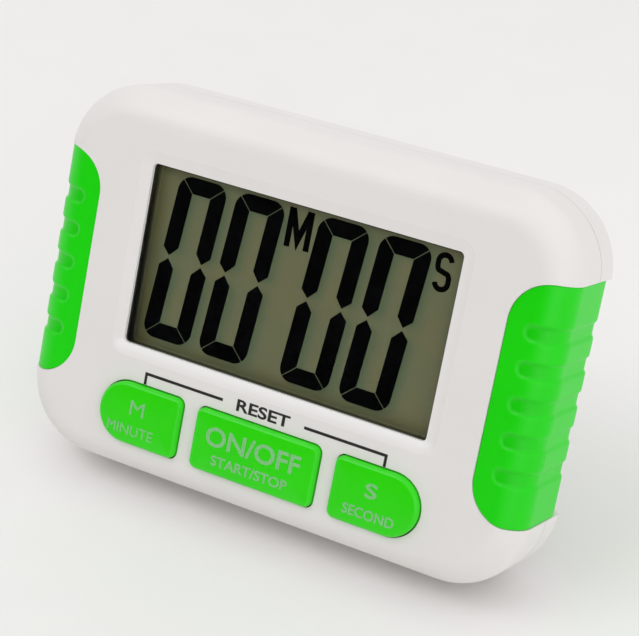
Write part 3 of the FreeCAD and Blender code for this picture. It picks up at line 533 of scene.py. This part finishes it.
# %% Dress the frame
finishes.update({
    "strip_rubber": finish("contact_rubber", dusty((0.62, 0.42, 0.38), 0.6)),
    "keypad_silicone": finish("grey_silicone", dusty((0.42, 0.46, 0.43), 0.5),
                              Subsurface_Weight=0.15, Subsurface_Scale=0.002),
    "carbon": finish("carbon_pill", dusty((0.012, 0.012, 0.013), 0.7)),
    "board_laminate": finish("green_board", laminate),
    "black_resin": finish("resin_blob", dusty((0.012, 0.012, 0.014), 0.22, 1.5, 0.05),
                          Coat_Weight=0.3),
    "tin": finish("tinned_can", plated((0.62, 0.62, 0.6), 0.26), Metallic=1.0),
    "nickel": finish("nickel_plate", plated((0.66, 0.63, 0.57), 0.2), Metallic=1.0),
    "solder": finish("solder_joint", plated((0.58, 0.58, 0.57), 0.3, (1, 1, 1)), Metallic=1.0),
    "capacitor_ceramic": finish("tan_ceramic", dusty((0.38, 0.27, 0.16), 0.45, 0.1)),
    "resistor_ceramic": finish("black_ceramic", dusty((0.03, 0.03, 0.035), 0.4, 0.1)),
    "ferrite": finish("ferrite_core", dusty((0.05, 0.045, 0.045), 0.55, 0.1)),
    "screw_steel": finish("screw_steel", plated((0.5, 0.5, 0.5), 0.28, (1, 1, 1)), Metallic=1.0),
    "sounder_brass": finish("sounder_brass", plated((0.78, 0.56, 0.24), 0.25), Metallic=1.0),
    "piezo_ceramic": finish("silvered_ceramic", plated((0.72, 0.7, 0.66), 0.4), Metallic=0.7),
    "cell_sleeve": finish("cell_sleeve", sleeve),
    "red_insulation": finish("red_wire", dusty((0.5, 0.012, 0.01), 0.38, 0.15, 0.004)),
    "black_insulation": finish("black_wire", dusty((0.013, 0.013, 0.014), 0.38, 0.15, 0.004)),
})
slot_of = {row["node"]: row["material_slot"] for row in frame["record"]["subparts"]}
for node, thing in frame["nodes"].items():
    thing.data.materials.clear()
    thing.data.materials.append(finishes[slot_of[node]])
print("dressed", len(slot_of), "nodes in", len(finishes), "finishes")

# %% [markdown]
# The timer stands on a wide pale sheet. It is stage, not part of the object. Paper is matt and
# almost even, so it takes the same recipe as the shells with a high roughness and a faint grain.

# %% The floor
SHEET_HALF = 6.0
PAPER = (0.86, 0.846, 0.838)
sheet_mesh = bpy.data.meshes.new("pale_sheet")
sheet_mesh.from_pydata([(-SHEET_HALF, -SHEET_HALF, 0), (SHEET_HALF, -SHEET_HALF, 0),
                        (SHEET_HALF, SHEET_HALF, 0), (-SHEET_HALF, SHEET_HALF, 0)], [], [(0, 1, 2, 3)])
floor = add("pale_sheet", sheet_mesh)
floor.data.materials.append(finish("pale_paper", moulded(PAPER, 0.8, 0.5, 0.004, 0.004)))
print("a sheet of", 2 * SHEET_HALF, "metres")

# %% [markdown]
# New pieces are grids of points worked out as whole arrays. `solid` turns points and faces into a
# mesh, merges doubled points at seams and poles, turns all faces outwards, hangs the piece on the
# body it rides on, gives it the finish of its slot unless another finish is given, and hides the
# CAD nodes it stands for.

# %% From arrays to a piece
SHARP = math.radians(32)
DOUBLED = 1e-7


def solid(name, points, faces, body, slot, material=None, replaces=(), smooth=True):
    """A closed mesh piece from case-frame points (metres) and faces, riding on a body."""
    mesh = bpy.data.meshes.new(name)
    mesh.from_pydata(np.asarray(points).reshape(-1, 3).tolist(), [], [list(f) for f in faces])
    work = bmesh.new()
    work.from_mesh(mesh)
    bmesh.ops.remove_doubles(work, verts=work.verts, dist=DOUBLED)
    bmesh.ops.dissolve_degenerate(work, edges=work.edges, dist=DOUBLED)
    bmesh.ops.recalc_face_normals(work, faces=work.faces)
    work.to_mesh(mesh)
    work.free()
    mesh.polygons.foreach_set("use_smooth", np.full(len(mesh.polygons), smooth))
    mesh.set_sharp_from_angle(angle=SHARP)
    piece = add(name, mesh)
    mesh.materials.append(material or finishes[slot])
    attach(piece, body)
    if replaces:
        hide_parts(*replaces)
    print(f"{name}: {len(mesh.polygons)} faces")
    return piece


def mark_points(piece, name, value_at):
    """Keeps value_at(x, y, z), in case millimetres, at every vertex for the finish to read."""
    flat = np.empty(len(piece.data.vertices) * 3)
    piece.data.vertices.foreach_get("co", flat)
    local = (flat.reshape(-1, 3) - ORIGIN) / MM
    values = value_at(local @ RIGHT, local @ UP, local @ OUT)
    store = piece.data.attributes.new(name, "FLOAT", "POINT")
    store.data.foreach_set("value", np.asarray(values, np.float32))


# %% [markdown]
# A grid of points needs its faces listed once. `quads` joins each point to its right and upper
# neighbours; `two_sheets` closes a thin skin out of two such grids and a wall round their edge.

# %% Faces of grids
def quads(rows, columns, start=0, around=False):
    """Faces of a grid of rows x columns points; around joins the last column to the first."""
    last = columns if around else columns - 1
    i, j = np.meshgrid(np.arange(rows - 1), np.arange(last), indexing="ij")
    k = (j + 1) % columns
    return (start + np.stack([i * columns + j, i * columns + k, (i + 1) * columns + k,
                              (i + 1) * columns + j], -1)).reshape(-1, 4)


def two_sheets(rows, columns):
    """Faces of two equal grids, one after the other, and of the wall that joins their outlines."""
    count = rows * columns
    edge = np.concatenate([np.arange(columns), np.arange(1, rows) * columns + columns - 1,
                           (rows - 1) * columns + np.arange(columns - 2, -1, -1),
                           np.arange(rows - 2, 0, -1) * columns])
    after = np.roll(edge, -1)
    wall = np.stack([edge, edge + count, after + count, after], -1)
    return np.concatenate([quads(rows, columns), quads(rows, columns, count)[:, ::-1], wall])


print("a skin of 3 x 3 points has", len(two_sheets(3, 3)), "faces")

# %% [markdown]
# ## The side grips
# Each grip is a green skin wrapped round the side of the case, with five finger grooves. It could
# be cut with booleans, but a skin is really a height field: walk along the case's profile in one
# direction and up the side in the other, and at every point say how far the surface lies below the
# shell's own skin. Grooves and rounded rims are then just sums of depths.

# %% The grip's profile
FRONT_ROUND = 5.0
REAR_ROUND = 4.0
GRIP_FIT = 0.08
GRIP_EDGE = reach_mm("right_grip", RIGHT)[0] - GRIP_FIT
grip_low = reach_mm("right_grip", UP)[0] - GRIP_FIT
grip_high = reach_mm("right_grip", UP)[1] + GRIP_FIT


def side_profile(s):
    """Skin point (x, z) and outward direction at arc length s: face, round, side, round, back."""
    face = HALF_WIDTH - FRONT_ROUND - GRIP_EDGE
    bend = FRONT_ROUND * math.pi / 2
    side = FACE - FRONT_ROUND - REAR_ROUND
    rear_bend = REAR_ROUND * math.pi / 2
    a = face, face + bend, face + bend + side, face + bend + side + rear_bend
    front_turn = np.clip((s - a[0]) / FRONT_ROUND, 0, math.pi / 2)
    rear_turn = np.clip((s - a[2]) / REAR_ROUND, 0, math.pi / 2)
    turn = front_turn + rear_turn
    nx, nz = np.sin(turn), np.cos(turn)
    front = s < (a[1] + a[2]) / 2
    centre_x = np.where(front, HALF_WIDTH - FRONT_ROUND, HALF_WIDTH - REAR_ROUND)
    centre_z = np.where(front, FACE - FRONT_ROUND, REAR_ROUND)
    radius = np.where(front, FRONT_ROUND, REAR_ROUND)
    x, z = centre_x + radius * nx, centre_z + radius * nz
    x = np.where(s < a[0], GRIP_EDGE + s, x)
    x = np.where(s > a[3], HALF_WIDTH - REAR_ROUND - (s - a[3]), x)
    along_side = (s > a[1]) & (s < a[2])
    z = np.where(along_side, FACE - FRONT_ROUND - (s - a[1]), z)
    return x, z, nx, nz


PROFILE_LENGTH = (2 * (HALF_WIDTH - GRIP_EDGE) - FRONT_ROUND - REAR_ROUND
                  + (FRONT_ROUND + REAR_ROUND) * math.pi / 2 + FACE - FRONT_ROUND - REAR_ROUND)
print(f"the grip's profile is {PROFILE_LENGTH:.1f} mm long")

# %% [markdown]
# Fingers need something to hold: five shallow channels with round ends run from the face round the
# side. The depth at a point depends on its distance to the middle line of the nearest channel. The
# same depth also says where painted shade darkens the green: in the channels near the face, fading
# along the side.

# %% Grooves and rims
RIM_ROUND = 0.22
GROOVE_PITCH = 5.35
GROOVES_EACH_SIDE = 2
GROOVE_HALF = 1.42
GROOVE_DEPTH = 0.32
GROOVE_WALL = 0.6
GROOVE_START = 4.0
GROOVE_END = 22.15
GROOVE_SHADE_END = 9.0
GROOVE_SHADE_FADE = 3.0


def groove_depth(s, y):
    """Depth of round-ended channels: a smooth wall down to a flat bed, by distance to a middle line."""
    middle = (grip_low + grip_high) / 2
    beyond = np.maximum(GROOVE_START - s, 0) + np.maximum(s - GROOVE_END, 0)
    number = np.clip(np.round((y - middle) / GROOVE_PITCH), -GROOVES_EACH_SIDE, GROOVES_EACH_SIDE)
    nearest = number * GROOVE_PITCH + middle
    wall = np.clip((GROOVE_HALF - np.hypot(y - nearest, beyond)) / GROOVE_WALL, 0, 1)
    return GROOVE_DEPTH * wall * wall * (3 - 2 * wall)


def groove_shade_at(x, y, z):
    """Painted shade in the grooves' front ends: the groove's depth at arc length s, fading along the side."""
    flat = HALF_WIDTH - FRONT_ROUND
    turn = np.arctan2(np.abs(x) - flat, np.maximum(z - FACE + FRONT_ROUND, 0.01))
    s = np.where(turn > 0, flat - GRIP_EDGE + FRONT_ROUND * turn, np.abs(x) - GRIP_EDGE)
    fading = np.clip((GROOVE_SHADE_END - s) / GROOVE_SHADE_FADE, 0, 1)
    return groove_depth(s, y) / GROOVE_DEPTH * fading * (z > FACE / 2)


def rim_depth(inside):
    """Quarter-round rim: how far the skin drops at a distance inside its outline."""
    inside = np.clip(inside, 0, RIM_ROUND)
    return RIM_ROUND - np.sqrt(np.maximum(RIM_ROUND ** 2 - (RIM_ROUND - inside) ** 2, 0))


print("grooves are", GROOVE_DEPTH, "mm deep, one every", GROOVE_PITCH, "mm")

# %% [markdown]
# The skin itself is a grid: along the profile and up the side, with points close together at the
# rims, where the surface turns, and wide apart where it hardly bends. The outline has rounded
# corners on the face, so each line across the grip has its own height.

# %% The two grips
GRIP_CORNER = 6.38
SET_BACK = 0.15
SKIN = 1.6
SKIN_ALONG = 140
SKIN_UP = 170
RIM_STEPS = np.array([0, 0.02, 0.05, 0.09, 0.14, 0.2, 0.3])
RIM_END = 0.5


def grip(side, name, node):
    """A closed skin: the outer height field, a grid one skin thickness lower, and a wall between."""
    rim = RIM_STEPS
    run = np.linspace(RIM_END, PROFILE_LENGTH - RIM_END, SKIN_ALONG)
    s = np.concatenate([rim, run, PROFILE_LENGTH - rim[::-1]])
    x, z, nx, nz = side_profile(s)
    middle = (grip_low + grip_high) / 2
    half_high = (grip_high - grip_low) / 2
    past = np.clip(GRIP_EDGE + GRIP_CORNER - x, 0, GRIP_CORNER)
    top = half_high - GRIP_CORNER + np.sqrt(GRIP_CORNER ** 2 - past ** 2)
    v = np.linspace(0, 1, SKIN_UP)
    low_rows = -top[:, None] + rim[None, :-1]
    mid_rows = -top[:, None] + rim[-1] + (2 * top[:, None] - 2 * rim[-1]) * v[None, :]
    y = np.concatenate([low_rows, mid_rows, -low_rows[:, ::-1]], 1)
    above = np.maximum(np.abs(y) - (half_high - GRIP_CORNER), 0)
    inside = GRIP_CORNER - np.hypot(past[:, None], above)
    y = y + middle
    depth = SET_BACK + rim_depth(inside) + groove_depth(s[:, None], y)
    rows, columns = y.shape
    x, z, nx, nz = (np.broadcast_to(q[:, None], y.shape) for q in (x, z, nx, nz))
    inner = np.full(y.shape, SET_BACK + SKIN)
    layers = [place(side * (x - d * nx), y, z - d * nz).reshape(-1, 3) for d in (depth, inner)]
    piece = solid(name, np.concatenate(layers), two_sheets(rows, columns), "case", "green_plastic",
                  replaces=(node,))
    # keeps at every point how much painted shade darkens the grooves
    mark_points(piece, "painted_groove_shade", groove_shade_at)


for side, name in ((1, "right"), (-1, "left")):
    grip(side, name + "_finger_grip", name + "_grip")

# %% [markdown]
# ## The key caps
# Seen from the front, a key is a rectangle whose corners may each have their own radius: the two
# outer keys are half round at their outer ends. Every outline gets the same number of points, so
# outlines of different sizes can be joined ring to ring.

# %% Key outlines
CORNER_STEPS = 14
EDGE_STEPS = 10
SMALLEST_CORNER = 0.02


def key_outline(x0, x1, y0, y1, radii, inset):
    """Points round a rectangle with its own radius at each corner (lower left, lower right, upper
    right, upper left), pulled in by the inset: quarter circles joined by straight runs."""
    centres = [(x0, y0, 1, 1), (x1, y0, -1, 1), (x1, y1, -1, -1), (x0, y1, 1, -1)]
    arcs = []
    for number, ((cx, cy, sx, sy), radius) in enumerate(zip(centres, radii)):
        angle = math.pi * (1 + number / 2) + np.linspace(0, math.pi / 2, CORNER_STEPS)
        small = max(radius - inset, SMALLEST_CORNER)
        middle = np.array([cx + sx * (small + inset), cy + sy * (small + inset)])
        arcs.append(middle + small * np.stack([np.cos(angle), np.sin(angle)], -1))
    pieces = []
    for number, arc in enumerate(arcs):
        following = arcs[(number + 1) % 4][0]
        t = np.linspace(0, 1, EDGE_STEPS + 1)[1:-1, None]
        pieces += [arc, arc[-1] + (following - arc[-1]) * t]
    return np.concatenate(pieces)


RING_POINTS = 4 * (CORNER_STEPS + EDGE_STEPS - 1)
print("every key outline has", RING_POINTS, "points")

# %% [markdown]
# The top of a moulded key is never quite flat: a gentle crown meets the finger and hides sink
# marks. Its height falls with the square of the distance from a flat middle. The same rule is used
# again later, to lay the printed words on the crown.

# %% The crown of a key
KEY_ROUND = 0.7
KEY_CROWN = 0.12
KEY_CORNER = 1.2
KEY_FLAT = 3.9
FLANGE = 0.6
FLANGE_THICK = 0.9


def key_shape(node):
    """A cap's sides, heights and corner radii, from the CAD key less its hidden flange."""
    (x0, x1), (y0, y1), (z0, z1) = (reach_mm(node, d) for d in (RIGHT, UP, OUT))
    half_round = (y1 - y0) / 2 - FLANGE
    radii = {"minute_key": (half_round, KEY_CORNER, KEY_CORNER, half_round),
             "start_stop_key": (KEY_CORNER,) * 4,
             "second_key": (KEY_CORNER, half_round, half_round, KEY_CORNER)}[node]
    return x0 + FLANGE, x1 - FLANGE, y0 + FLANGE, y1 - FLANGE, z0, z1, radii


def crown(inset, top):
    """Height of the cap at a distance inside its outline: flat in the middle, falling as a square."""
    fall = 1 - np.clip((inset - KEY_ROUND) / (KEY_FLAT - KEY_ROUND), 0, 1)
    return top - KEY_CROWN * fall ** 2


def key_top(node, x, y):
    """Height of a cap under case points, by their distance inside its rounded rectangle."""
    x0, x1, y0, y1, z0, z1, radii = key_shape(node)
    middle_x = (x0 + x1) / 2
    middle_y = (y0 + y1) / 2
    radius = np.where(y > middle_y, np.where(x > middle_x, radii[2], radii[3]),
                      np.where(x > middle_x, radii[1], radii[0]))
    across = np.abs(x - middle_x) - (x1 - x0) / 2 + radius
    along = np.abs(y - middle_y) - (y1 - y0) / 2 + radius
    beyond = np.hypot(np.maximum(across, 0), np.maximum(along, 0))
    within = np.minimum(np.maximum(across, along), 0)
    return crown(radius - beyond - within, z1)


for node in ("minute_key", "start_stop_key", "second_key"):
    print(node, "stands", round(key_shape(node)[5] - FACE, 2), "mm proud of the face")

# %% [markdown]
# A key cap is one profile carried round an outline: up the middle of the crown, over a soft edge,
# down the wall, out to the flange that keeps the key behind the face, and in underneath. Each
# point of the profile is a whole ring, at its own inset and height, and a line closes both ends.

# %% The key caps
CROWN_INSETS = (KEY_FLAT, 3.3, 2.7, 2.2, 1.7, 1.3, 1.0)
EDGE_POINTS = 9


def key_cap(node):
    """Rings of the key's outline at the insets and heights of its profile, closed along a spine."""
    x0, x1, y0, y1, z0, z1, radii = key_shape(node)
    bend = np.linspace(0, math.pi / 2, EDGE_POINTS)
    shoulder = z1 - KEY_CROWN
    crowned = [(inset, float(crown(inset, z1))) for inset in CROWN_INSETS]
    edge = [(KEY_ROUND * (1 - math.sin(b)), shoulder - KEY_ROUND * (1 - math.cos(b))) for b in bend]
    under = z0 + FLANGE_THICK
    foot = [(0.0, under), (-FLANGE, under), (-FLANGE, z0), (0.0, z0), (KEY_FLAT, z0)]
    grid = np.stack([np.column_stack([key_outline(x0, x1, y0, y1, radii, inset), np.full(RING_POINTS, z)])
                     for inset, z in crowned + edge + foot])
    half_high = (y1 - y0) / 2
    spine_x = np.clip(grid[0, :, 0], x0 + half_high, x1 - half_high)
    spine_y = np.full(RING_POINTS, (y0 + y1) / 2)
    top, bottom = (np.column_stack([spine_x, spine_y, np.full(RING_POINTS, z)])[None] for z in (z1, z0))
    grid = np.concatenate([top, grid, bottom])
    faces = quads(len(grid), RING_POINTS, around=True)
    solid(node + "_cap", place(*np.moveaxis(grid, -1, 0)), faces, node, "green_plastic",
          finishes["green_key"], replaces=(node,))


for node in ("minute_key", "start_stop_key", "second_key"):
    key_cap(node)

# %% [markdown]
# ## Printed marks
# Printing is a film of ink, a few hundredths of a millimetre thick. Letters come from Blender's own
# text, made into a mesh before it is laid on the surface, so that each point can follow the crown
# of a key. The film stands on its surface and sinks in a hair, because two faces in exactly the
# same place would flicker.

# %% Ink and letters
def ink(colour, roughness):
    """Pad-printed ink: slightly uneven cover and gloss."""
    def recipe(position):
        cover = position.noise(0.25, 3.0, 0.6)
        return {"Base Color": cover.step(0.3, 0.7).blend(colour, shade(colour, 1.25)),
                "Roughness": roughness + (cover - 0.5) * 0.15,
                "Normal": relief(cover, 0.004)}
    return recipe


black_ink = finish("black_ink", ink((0.010, 0.009, 0.009), 0.45))
pale_ink = finish("pale_green_ink", ink((0.19, 0.50, 0.19), 0.4))
INK_THICK = 0.05
INK_Z = FACE - 0.01
LETTER_SMOOTH = 5


def letters(name, text, height, width, x, y, surface_at, body, slot, material, bold):
    """Text made a mesh, stretched to a height and width in millimetres and laid on surface_at(x, y)."""
    curve = bpy.data.curves.new(name, "FONT")
    curve.body = text
    curve.resolution_u = LETTER_SMOOTH
    curve.extrude = INK_THICK / 2
    curve.offset = bold
    maker = add(name + "_text", curve)
    bpy.context.view_layer.update()
    mesh = bpy.data.meshes.new_from_object(maker)
    bpy.data.objects.remove(maker)
    flat = np.empty(len(mesh.vertices) * 3)
    mesh.vertices.foreach_get("co", flat)
    flat = flat.reshape(-1, 3)
    low, high = flat.min(0), flat.max(0)
    scale = np.array([width / (high[0] - low[0]), height / (high[1] - low[1]), 1.0])
    flat = (flat - (low + high) / 2) * scale + (x, y, 0)
    faces = [tuple(p.vertices) for p in mesh.polygons]
    points = place(flat[:, 0], flat[:, 1], flat[:, 2] + surface_at(flat[:, 0], flat[:, 1]))
    solid(name, points, faces, body, slot, material, smooth=False)


def face_print(x, y):
    """Middle height of ink on the flat face."""
    return INK_Z + INK_THICK / 2


RESET_HIGH, RESET_WIDE, RESET_BOLD = 1.9, 9.3, 0.022
BRACKET_Y = -12.93
letters("reset_legend", "RESET", RESET_HIGH, RESET_WIDE, 0.0, BRACKET_Y, face_print, "case",
        "black_mould", black_ink, RESET_BOLD)

# %% [markdown]
# A thin bracket ties the word to the two outer keys that are pressed together. It could be three
# thin boxes, but a ribbon along a path turns its corners cleanly: at each point it is widened along
# the line that halves the angle. The display letters further on use the same ribbon.

# %% The bracket
BRACKET_LINE = 0.45
BRACKET_INNER = 7.17
BRACKET_OUTER = 21.1
BRACKET_FOOT = -14.65


def ribbon(name, path, width, z, thick, slot, material):
    """A flat strip along a path: each point moved half a width to both sides along the mitre."""
    path = np.asarray(path, float)
    run = np.diff(path, axis=0)
    run /= np.linalg.norm(run, axis=1, keepdims=True)
    before, after = np.vstack([run[:1], run]), np.vstack([run, run[-1:]])
    mitre = before + after
    mitre /= np.linalg.norm(mitre, axis=1, keepdims=True)
    across = np.stack([-mitre[:, 1], mitre[:, 0]], -1)
    across *= (width / 2 / np.sum(mitre * before, 1))[:, None]
    ring = np.stack([path + across, path - across, path - across, path + across], 1)
    height = np.array([z, z, z + thick, z + thick])
    points = place(ring[..., 0], ring[..., 1], np.broadcast_to(height, ring.shape[:2]))
    last = 4 * len(path) - 4
    ends = np.array([[3, 2, 1, 0], [last, last + 1, last + 2, last + 3]])
    faces = np.concatenate([quads(len(path), 4, around=True), ends])
    solid(name, points, faces, "case", slot, material, smooth=False)


for side, name in ((-1, "left"), (1, "right")):
    path = [(side * BRACKET_INNER, BRACKET_Y), (side * BRACKET_OUTER, BRACKET_Y),
            (side * BRACKET_OUTER, BRACKET_FOOT)]
    ribbon(name + "_reset_bracket", path, BRACKET_LINE, INK_Z, INK_THICK, "black_mould", black_ink)

# %% [markdown]
# Each key carries a small word and a larger mark above it, in ink a little paler than the key. The
# marks are plain ones: M, S and ON/OFF. Thickening a letter by an offset spoils an M, whose
# strokes cross, so words with an M are left as thin as the font draws them.

# %% The keys' words
LEGEND_BOLD = 0.02
LEGEND_LIFT = 0.03
LEGEND_Y = -22.2
# key, piece, words, height, width, middle x and y
KEY_LEGENDS = (
    ("minute_key", "minute_legend", "MINUTE", 1.65, 8.4, -21.7, LEGEND_Y),
    ("start_stop_key", "start_stop_legend", "START/STOP", 1.65, 13.4, 0.0, LEGEND_Y),
    ("second_key", "second_legend", "SECOND", 1.65, 8.6, 20.6, LEGEND_Y),
    ("minute_key", "minute_letter", "M", 2.3, 2.6, -21.0, -18.5),
    ("start_stop_key", "start_letter", "ON/OFF", 3.1, 16.6, 0.0, -18.6),
    ("second_key", "second_letter", "S", 2.3, 2.0, 20.4, -18.5),
)


def crown_print(node):
    """A function that gives the middle height of ink on that key's crown."""
    def surface_at(x, y):
        return key_top(node, x, y) + LEGEND_LIFT
    return surface_at


for node, name, text, height, width, x, y in KEY_LEGENDS:
    letters(name, text, height, width, x, y, crown_print(node), node, "green_plastic", pale_ink,
            0.0 if "M" in text else LEGEND_BOLD)

# %% [markdown]
# ## The display's figures
# A seven-segment figure is a slanted ring cut by thin diagonal gaps. The four figures read zero, so
# the middle bar is off. Only two segments are listed, the top and the upper right one; the
# others are the same outlines turned over, left to right or top to bottom.

# %% Segments of a nought
DIGIT_WIDE, DIGIT_HIGH = 8.5, 26.0
STROKE, BAR = 2.62, 2.5
DIGIT_GAP, DIGIT_ROUND = 0.11, 2.1
TIP_ABOVE_MIDDLE, TIP_OUTER, TIP_INNER = 0.25, 1.2, 1.45


def arc(cx, cy, radius, start, end, steps=7):
    """Points on a circle from one angle to another, in degrees."""
    a = np.radians(np.linspace(start, end, steps))
    return np.stack([cx + radius * np.cos(a), cy + radius * np.sin(a)], -1)


def flip_x(outline):
    """The outline turned over left to right inside the figure, with its points in reverse."""
    return (np.array([DIGIT_WIDE, 0]) + [-1, 1] * outline)[::-1]


def flip_y(outline):
    """The outline turned over top to bottom inside the figure, with its points in reverse."""
    return (np.array([0, DIGIT_HIGH]) + [1, -1] * outline)[::-1]


def zero_segments():
    """The six lit segments of a nought, from its lower left corner."""
    w, h, s, b, g, r = DIGIT_WIDE, DIGIT_HIGH, STROKE, BAR, DIGIT_GAP, DIGIT_ROUND
    top_right = arc(w - r, h - r, r, 45, 90) + [-g, 0]
    top = np.concatenate([[(w - s - g, h - b)], top_right, flip_x(top_right), [(s + g, h - b)]])
    side_arc = arc(w - r, h - r, r, 0, 45) + [0, -g]
    tip = h / 2 + TIP_ABOVE_MIDDLE
    upper = np.concatenate([[(w - s, h - b - g), (w - s, tip + TIP_INNER), (w - s / 2, tip),
                             (w, tip + TIP_OUTER)], side_arc])
    return [top, upper, flip_x(upper), flip_y(top), flip_y(upper), flip_x(flip_y(upper))]


print("a nought has", len(zero_segments()), "segments")

# %% [markdown]
# Lit liquid crystal lets no light back, so the segments are near black, with hardly any gloss of
# their own. Each outline is slanted, moved to its figure's place and given the thickness of a film.
# The outlines are kept in a list, because the shade beside them is worked out from them later.

# %% The four figures
SLANT = 0.0855
FIGURE_X = (-24.56, -14.34, 0.07, 10.34)
FIGURE_LOW = -7.62
FILM_THICK = 0.06
film_top = reach_mm("display_polariser", OUT)[1]
lit_z = film_top - 0.01


def slab(outlines, z0, z1):
    """Flat polygons (case millimetres) given thickness: a lower and an upper copy with walls between."""
    points, faces, start = [], [], 0
    for outline in outlines:
        n = len(outline)
        for z in (z0, z1):
            points.append(place(outline[:, 0], outline[:, 1], np.full(n, z)))
        i = np.arange(n)
        faces += [list(start + i[::-1]), list(start + n + i)]
        faces += (start + np.stack([i, (i + 1) % n, n + (i + 1) % n, n + i], -1)).tolist()
        start += 2 * n
    return np.concatenate(points), faces


def crystal(position):
    """Lit liquid crystal: near black, with a faint blue bloom."""
    bloom = position.noise(4.0, 2.0).step(0.3, 0.8)
    return {"Base Color": bloom.blend((0.0012, 0.0012, 0.0014), (0.003, 0.003, 0.004)),
            "Roughness": 0.5 + position.noise(0.2, 1.0) * 0.2,
            "Normal": relief(position.noise(0.3, 1.0), 0.001)}


black_crystal = finish("lit_crystal", crystal, Specular_IOR_Level=0.02)
lit_shapes = []
for number, x in enumerate(FIGURE_X):
    outlines = [p + np.outer(p[:, 1], (SLANT, 0)) + (x, FIGURE_LOW) for p in zero_segments()]
    lit_shapes += outlines
    points, faces = slab(outlines, lit_z, film_top + FILM_THICK)
    solid(f"figure_{number + 1}", points, faces, "case", "polariser_film", black_crystal, smooth=False)

# %% [markdown]
# Light falls past each lit segment onto the reflector behind, so every figure has a soft greenish
# shade beside it. It could be a picture, but the shapes are known: a grid marks which points lie
# inside a segment, and the marks are blurred as real shade is.

# %% The figures' shade
SHEET_STEP = 0.25
SHADE_MOVE = (1.0, -0.35)
SHADE_BLUR = 0.55
EDGE_SLACK = 1e-6


def inside_convex(outline, x, y):
    """True where a point lies on the same side of every edge of a convex outline."""
    after = np.roll(outline, -1, axis=0)
    side = [(b[0] - a[0]) * (y - a[1]) - (b[1] - a[1]) * (x - a[0]) for a, b in zip(outline, after)]
    return (np.min(side, 0) >= -EDGE_SLACK) | (np.max(side, 0) <= EDGE_SLACK)


def blurred(mark, sigma):
    """A Gaussian blur along both directions of a grid."""
    reach_steps = np.arange(-int(3 * sigma), int(3 * sigma) + 1)
    weight = np.exp(-reach_steps ** 2 / (2 * sigma ** 2))
    weight /= weight.sum()
    for axis in (0, 1):
        mark = np.apply_along_axis(lambda line: np.convolve(line, weight, "same"), axis, mark)
    return mark


film_x = reach_mm("display_polariser", RIGHT)
film_y = reach_mm("display_polariser", UP)
sheet_x = np.linspace(*film_x, int((film_x[1] - film_x[0]) / SHEET_STEP))
sheet_y = np.linspace(*film_y, int((film_y[1] - film_y[0]) / SHEET_STEP))
grid_x, grid_y = np.meshgrid(sheet_x, sheet_y, indexing="ij")
mark = np.zeros(grid_x.shape)
for outline in lit_shapes:
    mark = np.maximum(mark, inside_convex(outline, grid_x - SHADE_MOVE[0], grid_y - SHADE_MOVE[1]))
mark = blurred(mark, SHADE_BLUR / SHEET_STEP)
print("shade covers", round(float(mark.mean()), 3), "of the film")

# %% [markdown]
# The film is a thin sheet whose upper and lower grids match the marks, so it can keep the shade as
# a number at each of its points. The finish reads that number and mixes in the green shade.

# %% The film
sheets = [place(grid_x, grid_y, z).reshape(-1, 3) for z in reach_mm("display_polariser", OUT)]
film = solid("olive_film", np.concatenate(sheets), two_sheets(*grid_x.shape), "case", "polariser_film",
             replaces=("display_polariser",))


def shade_at(x, y, z):
    """The blurred mark at the grid point nearest to each film point."""
    column = np.round((x - film_x[0]) / (sheet_x[1] - sheet_x[0])).astype(int)
    row = np.round((y - film_y[0]) / (sheet_y[1] - sheet_y[0])).astype(int)
    return mark[np.clip(column, 0, len(sheet_x) - 1), np.clip(row, 0, len(sheet_y) - 1)]


mark_points(film, "figure_shade", shade_at)

# %% [markdown]
# The small M and S are lit strokes of one width, like the figures. M is three ribbons: two posts
# and a deep V between them. S is one ribbon along four arcs of one radius.

# %% The small marks
MARK_TOP = 18.3
MARK_LOW = 12.3
MINUTES_LEFT = -2.55
MINUTES_WIDE = 3.3
MINUTES_STROKE = 0.95
SECONDS_MIDDLE = 23.1
SECONDS_STROKE = 0.8
SECONDS_ROUND = 1.05


def strokes(name, lines, width):
    """Display letters: ribbons of one width along the given paths."""
    for number, line in enumerate(lines):
        ribbon(f"{name}_{number + 1}", line, width, lit_z, FILM_THICK, "polariser_film", black_crystal)


def letter_m(left, wide, low, high):
    """Paths of two posts and a V between their inner edges."""
    inset = 0.15
    valley = (left + wide / 2, low + 1.25)
    posts = [[(x, low), (x, high)] for x in (left, left + wide)]
    return posts + [[(left + inset, high - 0.1), valley, (left + wide - inset, high - 0.1)]]


def letter_s(middle, low, high, radius):
    """One path of four arcs: over the top, down to the waist, out of it, and round the bottom."""
    return [np.concatenate([arc(middle, high - 1.55, radius, 10, 180, 12),
                            arc(middle, high - 2.1, radius, 190, 225, 4),
                            arc(middle, low + 2.0, radius, 45, 10, 4),
                            arc(middle, low + 1.45, radius, 0, -170, 12)])]


strokes("minutes_mark", letter_m(MINUTES_LEFT, MINUTES_WIDE, MARK_LOW, MARK_TOP), MINUTES_STROKE)
strokes("seconds_mark", letter_s(SECONDS_MIDDLE, MARK_LOW, MARK_TOP, SECONDS_ROUND), SECONDS_STROKE)

# %% [markdown]
# The visual model may not outgrow the CAD. The two boxes are kept side by side for comparison.

# %% Sizes and the frame's own checks
def plain(box):
    """A box as plain lists of numbers."""
    return [[float(v) for v in corner] for corner in box]
